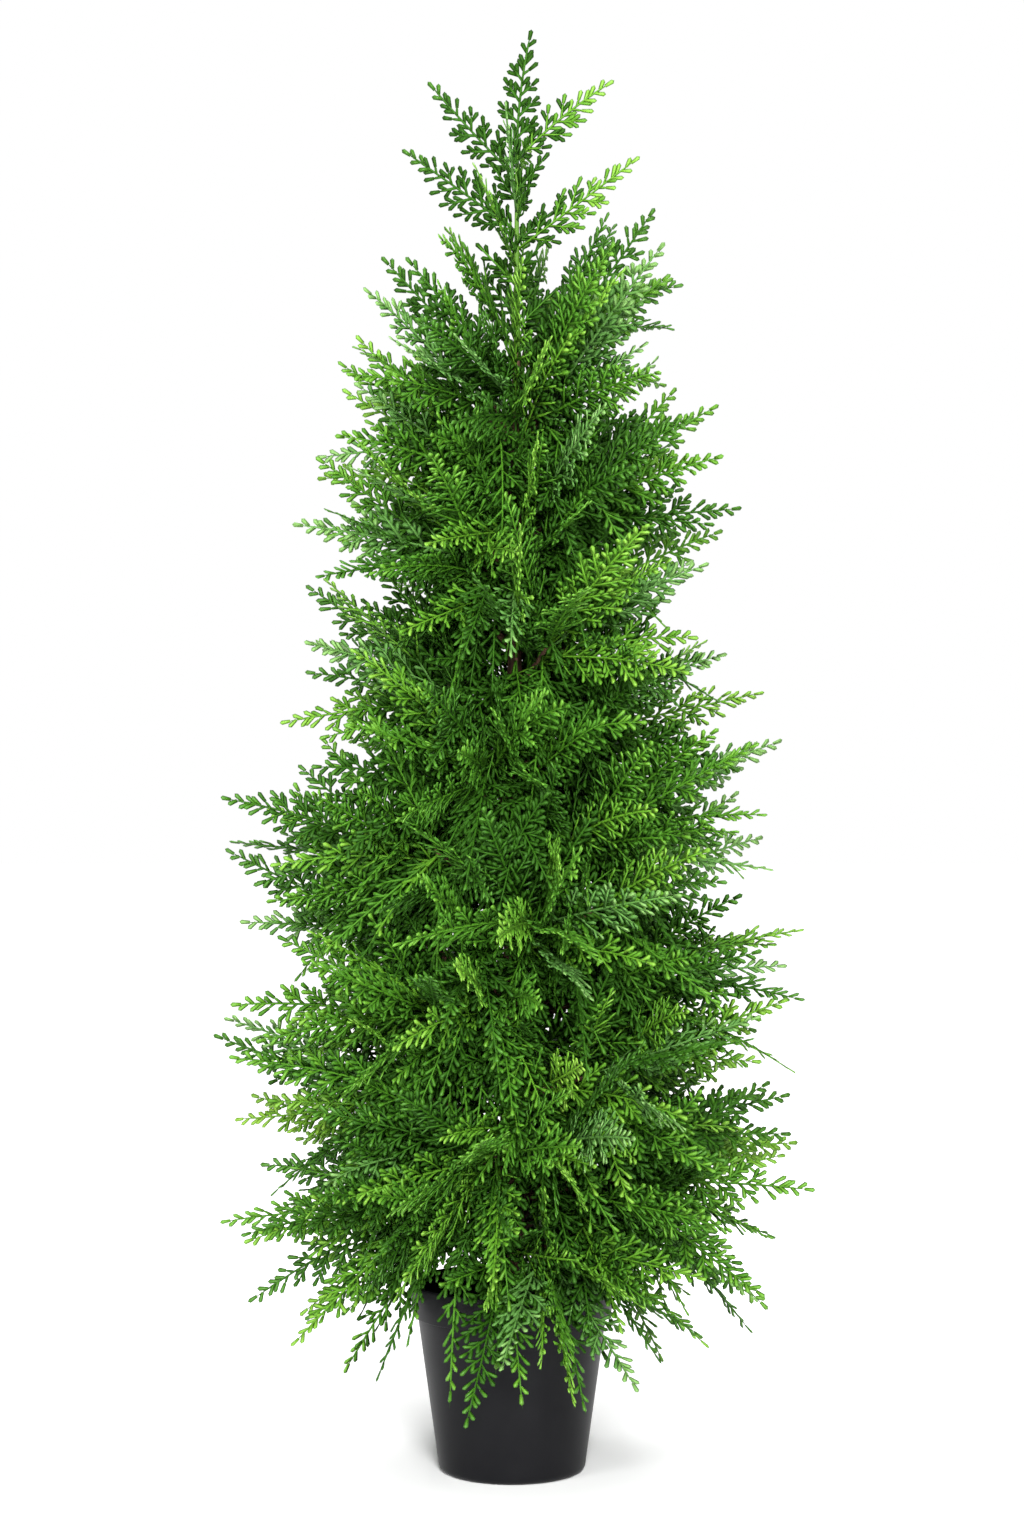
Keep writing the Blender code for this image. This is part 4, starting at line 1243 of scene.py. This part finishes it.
def pot_outline():
    """The pot's section as (radius, height) points, from inside the floor round to below."""
    lip_foot = POT_HEIGHT - LIP_HEIGHT
    inner = POT_RIM_RADIUS - POT_WALL
    edge = POT_WALL / 2
    rim_middle = (POT_RIM_RADIUS - edge, POT_HEIGHT - edge)
    foot_radius = body_radius(POT_FOOT_ROUND)
    foot_middle = (foot_radius - POT_FOOT_ROUND, POT_FOOT_ROUND)
    inside = [
        (0.0, POT_FLOOR),
        (body_radius(POT_FLOOR) - POT_WALL, POT_FLOOR),
        (body_radius(lip_foot) - POT_WALL, lip_foot),
        (inner - LIP_TAPER, lip_foot + LIP_STEP),
    ]
    lip_low = (POT_RIM_RADIUS - LIP_TAPER - LIP_ROUND, lip_foot + LIP_ROUND)
    groove = [
        (body_radius(lip_foot) + LIP_ROUND, lip_foot),
        (body_radius(lip_foot) - LIP_ROUND / 2, lip_foot - LIP_ROUND / 2),
        (body_radius(lip_foot - GROOVE_HEIGHT), lip_foot - GROOVE_HEIGHT),
    ]
    below = [
        (FOOT_RING_RADIUS + FOOT_RING_DEPTH, 0.0),
        (FOOT_RING_RADIUS, FOOT_RING_DEPTH),
        (0.0, FOOT_RING_DEPTH),
    ]
    heights = np.linspace(lip_foot - BODY_ENDS[0], BODY_ENDS[1], BODY_RINGS)
    body = [(body_radius(height), height) for height in heights]
    return np.concatenate(
        [
            inside,
            corner_arc(rim_middle, edge, 180, 0),
            corner_arc(lip_low, LIP_ROUND, 0, -90),
            groove,
            body,
            corner_arc(foot_middle, POT_FOOT_ROUND, 0, -90),
            below,
        ]
    )


def round_points(radius, heights, turn):
    """Points at radii and heights, carried round Z: (radius cos, radius sin, height)."""
    x, y = radius * np.cos(turn), radius * np.sin(turn)
    return np.stack([x, y, np.broadcast_to(heights, x.shape)], axis=-1)


def add_pot(material):
    """The pot's section carried round Z, closed at both poles, with its corners kept sharp."""
    outline = pot_outline()
    radius, heights = outline[1:-1].T[:, :, None]
    rings = round_points(radius, heights, angles_round(POT_TURNS))
    poles = (0.0, 0.0, outline[0][1]), (0.0, 0.0, outline[-1][1])
    pot = add_mesh("pot_shell", *closed_rings(rings, *poles), material)
    pot.data.set_sharp_from_angle(angle=POT_CREASE)
    return pot


def clods(x, y):
    """Bumps from sums of waves in seeded directions, with the greatest of the points at 1."""
    chance = np.random.default_rng(CLOD_SEED)
    total = np.zeros_like(x)
    for size in CLOD_SIZES:
        for _ in range(CLOD_WAVES):
            turn = chance.uniform(0, 2 * math.pi)
            phase = chance.uniform(0, 2 * math.pi)
            way = x * math.cos(turn) + y * math.sin(turn)
            wave = np.sin(2 * math.pi * way / size + phase)
            total += wave * (size / CLOD_SIZES[0]) ** CLOD_POWER
    return total / np.abs(total).max()


def soil_height(x, y):
    """The soil's top: a low dome with clods, level with its edge at the wall."""
    out = np.hypot(x, y) / SOIL_RADIUS
    dome = SOIL_EDGE + (SOIL_TOP - SOIL_EDGE) * (1 - out**2)
    return dome + clods(x, y) * CLOD_HEIGHT * (1 - CLODS_LOWER * out)


def add_soil(material):
    """A disc whose rings carry the clods, closed by a skirt and a flat underside."""
    radius = SOIL_RADIUS * np.linspace(0, 1, SOIL_RINGS + 1)[1:] ** SOIL_CROWDING
    top = round_points(radius[:, None], 0.0, angles_round(SOIL_TURNS))
    top[..., 2] = soil_height(top[..., 0], top[..., 1])
    skirt = top[-1:].copy()
    skirt[..., 2] = SOIL_EDGE - SOIL_SKIRT
    crest = float(soil_height(np.zeros(1), np.zeros(1))[0])
    poles = (0.0, 0.0, crest), (0.0, 0.0, SOIL_EDGE - SOIL_SKIRT)
    return add_mesh("soil_bed", *closed_rings(np.concatenate([top, skirt]), *poles), material)


def add_crumbs(material):
    """Small lumps on the soil: octahedra with their corners moved, turned and squashed."""
    chance = np.random.default_rng(CRUMB_SEED)
    turn = chance.uniform(0, 2 * math.pi, CRUMBS)
    out = (SOIL_RADIUS - CRUMB_MARGIN) * chance.uniform(CRUMBS_FROM, 1.0, CRUMBS) ** 0.5
    middle = round_points(out, 0.0, turn)
    size = chance.uniform(*CRUMB_SIZES, CRUMBS)
    middle[:, 2] = soil_height(middle[:, 0], middle[:, 1]) + size * CRUMB_LIFT
    corners = np.array(
        [(1, 0, 0), (0, 1, 0), (-1, 0, 0), (0, -1, 0), (0, 0, 1), (0, 0, -1)], float
    )
    faces = np.array(
        [(0, 1, 4), (1, 2, 4), (2, 3, 4), (3, 0, 4), (1, 0, 5), (2, 1, 5), (3, 2, 5), (0, 3, 5)]
    )
    shape = corners * chance.uniform(*CRUMB_CORNERS, (CRUMBS, len(corners), 1))
    spin = chance.uniform(0, 2 * math.pi, CRUMBS)
    cos, sin = np.cos(spin)[:, None], np.sin(spin)[:, None]
    x, y, z = np.moveaxis(shape, -1, 0)
    spun = np.stack([x * cos - y * sin, x * sin + y * cos, z * CRUMB_FLATNESS], -1)
    lumps = middle[:, None, :] + spun * size[:, None, None]
    return add_mesh("soil_crumbs", *repeated(lumps, faces), material, smooth=False)


# ---------------------------------------------------------------- trunk and boughs


def ridges(turn, ahead, seed):
    """Bark relief between -1 and 1: wandering ridges along a limb, from seeded waves.

    Each wave is |sin| of a whole number of turns round the limb plus a slow twist along it,
    so that the relief meets itself round the limb.
    """
    chance = np.random.default_rng(seed)
    total = np.zeros(np.broadcast(turn, ahead).shape)
    for around in BARK_WAVES:
        twist = chance.uniform(-BARK_TWIST, BARK_TWIST)
        wander = chance.uniform(*BARK_WANDERS)
        phase = chance.uniform(0, 2 * math.pi, 2)
        sway = BARK_SWAY * np.sin(wander * ahead + phase[0])
        wave = np.sin(around * turn + twist * ahead + phase[1] + sway)
        total += np.abs(wave) / around**0.5
    total -= total.mean()
    return total / np.abs(total).max()


def add_trunk(material):
    """The trunk as rings whose radius is its taper and flare, times the bark's relief."""
    heights = np.linspace(SOIL_TOP - TRUNK_ROOT, TRUNK_TOP, TRUNK_RINGS)[:, None]
    turn = angles_round(TRUNK_SIDES)
    relief = 1 + BARK_RELIEF * ridges(turn, heights, TRUNK_SEED)
    rings = round_points(trunk_radius(heights) * relief, heights, turn)
    rings[..., 0] += trunk_shift(heights)
    poles = (0.0, 0.0, heights[0, 0]), (float(trunk_shift(TRUNK_TOP)), 0.0, TRUNK_TOP)
    points, faces = closed_rings(rings, *poles)
    return add_mesh("trunk_bark", points, faces[:, ::-1], material)


def add_boughs(stems, material):
    """Every bough and the stem that goes on from it, as one tapering limb with bark ridges."""
    share = np.linspace(0.0, 1.0, BOUGH_RINGS)
    rows, normals = [], []
    for mass in stems:
        first = path_start(mass) * BOUGH_ROOT
        rows.append(path_point(mass, between((first, path_end(mass)), share)))
        normals.append(np.cross(outwards(mass.azimuth), UP))
    points = np.array(rows)
    taper = between((BOUGH_RADIUS, STEM_TIP_RADIUS), share)
    collar = BOUGH_COLLAR * BOUGH_RADIUS * np.clip(1 - share / COLLAR_SHARE, 0, 1) ** 2
    radii = np.broadcast_to(taper + collar, points.shape[:2])
    corners, faces = tube_mesh(points, radii, BOUGH_SIDES, np.array(normals))
    shaped = corners.reshape(len(points), -1, 3)
    ring_part = shaped[:, :-2].reshape(len(points), BOUGH_RINGS, BOUGH_SIDES, 3)
    turn = angles_round(BOUGH_SIDES)
    seeds = range(BOUGH_SEED, BOUGH_SEED + len(points))
    relief = np.stack([ridges(turn, share[:, None], seed) for seed in seeds])
    middle = points[:, :, None, :]
    ring_part[:] = middle + (ring_part - middle) * (1 + BOUGH_RELIEF * relief[..., None])
    return add_mesh("bough_bark", shaped.reshape(-1, 3), faces, material)


def add_leader_stem(material):
    """The green leader stem from the trunk's tip up to its middle frond."""
    points = np.zeros((1, LEADER_STEM_RINGS, 3))
    points[..., 0] = float(trunk_shift(TRUNK_TOP))
    ends = TRUNK_TOP - LEADER_STEM_ROOT, TRUNK_TOP + LEADER_STEM
    points[..., 2] = np.linspace(*ends, LEADER_STEM_RINGS)
    radii = np.linspace(*LEADER_STEM_RADII, LEADER_STEM_RINGS)[None]
    sideways = np.array([[1.0, 0.0, 0.0]])
    corners, faces = tube_mesh(points, radii, LEADER_STEM_SIDES, sideways)
    return add_mesh("leader_stem", corners, faces, material)


# ---------------------------------------------------------------- foliage


def grow_crown():
    """Every stem that is drawn, and every frond: those of the solids, and more."""
    masses = lay_out_masses()
    fronds = []
    for mass in masses[:-1]:
        fronds += grow_fronds(mass, masses)
    fronds += grow_leader_fronds(masses[-1], masses)
    tips = [rib_point(frond, 1.0) for frond in fronds]
    stems = []
    for mass in masses[:-1]:
        stems += [mass, *forks_of(mass)]
    for stem in stems:
        fronds += grow_hanging_fronds(stem, tips)
        fronds += grow_more_fronds(stem, tips)
    fronds += grow_leader_twigs()
    fronds += grow_trunk_fronds()
    return stems, fronds


def deal_tints(fronds, chance):
    """A tint for every frond, by the tints' shares. Fronds deep in the crown are drawn to the
    darker ones, as painted shade.
    """
    shares = np.array([row[3] for row in TINTS])
    edges = np.cumsum(shares / shares.sum())
    tips = np.array([rib_point(frond, 1.0) for frond in fronds])
    depth = 1 - outwardness(tips)
    drawn_in = DEEPER * np.clip(depth - DEEPER_FROM, 0, DEEPER_MOST)
    drawn = chance.uniform(0, 1, len(fronds)) * (1 - drawn_in)
    return np.minimum(np.searchsorted(edges, drawn), len(TINTS) - 1)


def leaf_pieces(leaflets, materials):
    """Leaflets joined by tint into meshes of no more than MOST_FACES faces each."""
    made = []
    room = MOST_FACES // len(LEAFLET[1])
    for tint, material in enumerate(materials):
        chosen = np.flatnonzero(leaflets.tint == tint)
        for number, first in enumerate(range(0, len(chosen), room)):
            part = Leaflets(*(column[chosen[first : first + room]] for column in leaflets))
            points, faces = leaflet_mesh(part)
            name = f"leaflets_{material.name}_{number + 1}"
            made.append(add_mesh(name, points, faces, material))
    return made


def add_foliage(fronds, materials, twig_materials):
    """All leaflets and all twigs of the crown, as joined pieces."""
    chance = np.random.default_rng(LEAF_SEED)
    tints = deal_tints(fronds, chance)
    ribs = as_ribs(fronds, tints, chance)
    sides = make_sides(ribs, chance)
    groups = [side_leaflets(ribs, sides, chance), rib_leaflets(ribs, sides, chance)]
    groups.append(end_leaflets(ribs, chance))
    leaflets = Leaflets(*(np.concatenate(columns) for columns in zip(*groups)))
    leaves = leaf_pieces(leaflets, materials)
    twigs = []
    for tint, material in enumerate(twig_materials):
        chosen = np.flatnonzero(ribs.tint == tint)
        points, faces = rib_mesh(ribs, chosen)
        twigs.append(add_mesh(f"ribs_{material.name}", points, faces, material))
        chosen = np.flatnonzero(ribs.tint[sides.rib] == tint)
        points, faces = side_mesh(sides, chosen)
        twigs.append(add_mesh(f"twigs_{material.name}", points, faces, material))
    return leaves, twigs


# ---------------------------------------------------------------- studio


CAMERA_DISTANCE = 2.40
CAMERA_HEIGHT = 0.5838
LENS = 67.45
SENSOR = 36.0
FLOOR_SIZE = 30.0
FLOOR_DROP = 0.0003  # by which it lies under the pot's underside
FLOOR_GLOW_AND_PAINTED_SHADOW = ((0.07, 0.0), (0.19, 0.17), (0.42, 0.42), (1.0, 0.97))  # metres, and light shed: least near the pot as a painted shadow round it, white far out
SURROUND_STRENGTH = 0.19
LAMPS = (  # name, place, aim, width and height, and power
    ("key", (0.3, -3.3, 1.7), (0, 0, 0.6), (0.9, 0.9), 240),
    ("fill", (-2.2, -2.5, 1.3), (0, 0, 0.5), (1.2, 1.8), 62),
    ("overhead", (0.0, 0.2, 3.0), (0, 0, 0), (2.0, 2.0), 62),
)


def add_floor():
    """A large pale floor just under the pot, that sheds more light the further out it lies. It
    glows though it is no lamp, and its glow is least near the pot as a painted soft shadow round
    it.
    """
    half = FLOOR_SIZE / 2
    corners = [(-half, -half, 0), (half, -half, 0), (half, half, 0), (-half, half, 0)]
    points = np.array(corners, float) - UP * FLOOR_DROP
    pale = (0.90, 0.90, 0.90)
    material, tree, shader = new_material("pale_floor", pale, roughness=0.9, specular=0.1)
    where = tree.nodes.new("ShaderNodeTexCoord")
    away = tree.nodes.new("ShaderNodeVectorMath")
    away.operation = "LENGTH"
    tree.links.new(where.outputs["Object"], away.inputs[0])
    glow = tree.nodes.new("ShaderNodeValToRGB")
    glow.color_ramp.interpolation = "EASE"
    while len(glow.color_ramp.elements) < len(FLOOR_GLOW_AND_PAINTED_SHADOW):
        glow.color_ramp.elements.new(1.0)
    for stop, (distance, light) in zip(glow.color_ramp.elements, FLOOR_GLOW_AND_PAINTED_SHADOW):
        stop.position = distance
        stop.color = (light, light, light, 1.0)
    tree.links.new(away.outputs["Value"], glow.inputs["Fac"])
    tree.links.new(glow.outputs["Color"], shader.inputs["Emission Color"])
    shader.inputs["Emission Strength"].default_value = 1.0
    floor = add_mesh("floor", points, [(0, 1, 2, 3)], material, smooth=False)


def add_softbox(name, place, aim, size, power):
    """A rectangular lamp of soft light at a place, turned to face its aim."""
    light = bpy.data.lights.new(name, "AREA")
    light.shape = "RECTANGLE"
    light.size, light.size_y = size
    light.energy = power
    box = bpy.data.objects.new(name, light)
    box.location = place
    box.rotation_euler = (Vector(place) - Vector(aim)).to_track_quat("Z", "Y").to_euler()
    bpy.context.scene.collection.objects.link(box)


def add_studio():
    """Soft lamps, and surroundings that are white behind the plant but light it only dimly."""
    world = bpy.data.worlds.new("studio")
    world.use_nodes = True
    tree = world.node_tree
    path = tree.nodes.new("ShaderNodeLightPath")
    strength = tree.nodes.new("ShaderNodeMapRange")
    strength.inputs["To Min"].default_value = SURROUND_STRENGTH
    strength.inputs["To Max"].default_value = 1.0
    tree.links.new(path.outputs["Is Camera Ray"], strength.inputs["Value"])
    background = tree.nodes["Background"]
    background.inputs["Color"].default_value = (1.0, 1.0, 1.0, 1.0)
    tree.links.new(strength.outputs["Result"], background.inputs["Strength"])
    bpy.context.scene.world = world
    for lamp in LAMPS:
        add_softbox(*lamp)
    bpy.context.scene.view_settings.view_transform = "Standard"


def add_camera():
    """A level camera in front of the plant, at about half its height."""
    camera = bpy.data.objects.new("camera", bpy.data.cameras.new("camera"))
    camera.data.sensor_width = SENSOR
    camera.data.lens = LENS
    camera.location = (0.0, -CAMERA_DISTANCE, CAMERA_HEIGHT)
    camera.rotation_euler = (math.radians(90), 0.0, 0.0)
    bpy.context.scene.collection.objects.link(camera)
    bpy.context.scene.camera = camera


# ---------------------------------------------------------------- putting it together


def stand_for(piece, nodes):
    """Sets a piece on the plant's one body, in place of its nodes."""
    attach(piece, "root")
    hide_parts(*nodes)


def main():
    """Builds every piece in place of its nodes, then the floor, the lamps and the camera."""
    group = uneven_group()
    bark = bark_material(group)
    names = sorted(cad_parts)
    boughs = [name for name in names if name.startswith("bough_")]
    masses_of_leaves = [name for name in names if name.startswith("foliage_")]

    stand_for(add_pot(pot_material(group)), ["pot"])
    soil = soil_material(group, "soil_mix", (0.010, 0.007, 0.005), (0.060, 0.038, 0.024))
    crumb = soil_material(group, "soil_crumb", (0.020, 0.013, 0.008), (0.110, 0.070, 0.045))
    stand_for(add_soil(soil), ["soil"])
    stand_for(add_crumbs(crumb), ["soil"])
    stand_for(add_trunk(bark), ["trunk"])

    stems, fronds = grow_crown()
    stand_for(add_boughs(stems, bark), boughs)
    green = (0.062, 0.150, 0.012)
    stem_green = new_material("stem_green", green, roughness=0.6, specular=0.2)[0]
    stand_for(add_leader_stem(stem_green), ["foliage_leader"])
    leaves, twigs = add_foliage(fronds, leaf_materials(), twig_materials())
    for piece in leaves + twigs:
        stand_for(piece, masses_of_leaves)

    add_floor()
    add_studio()
    add_camera()


main()
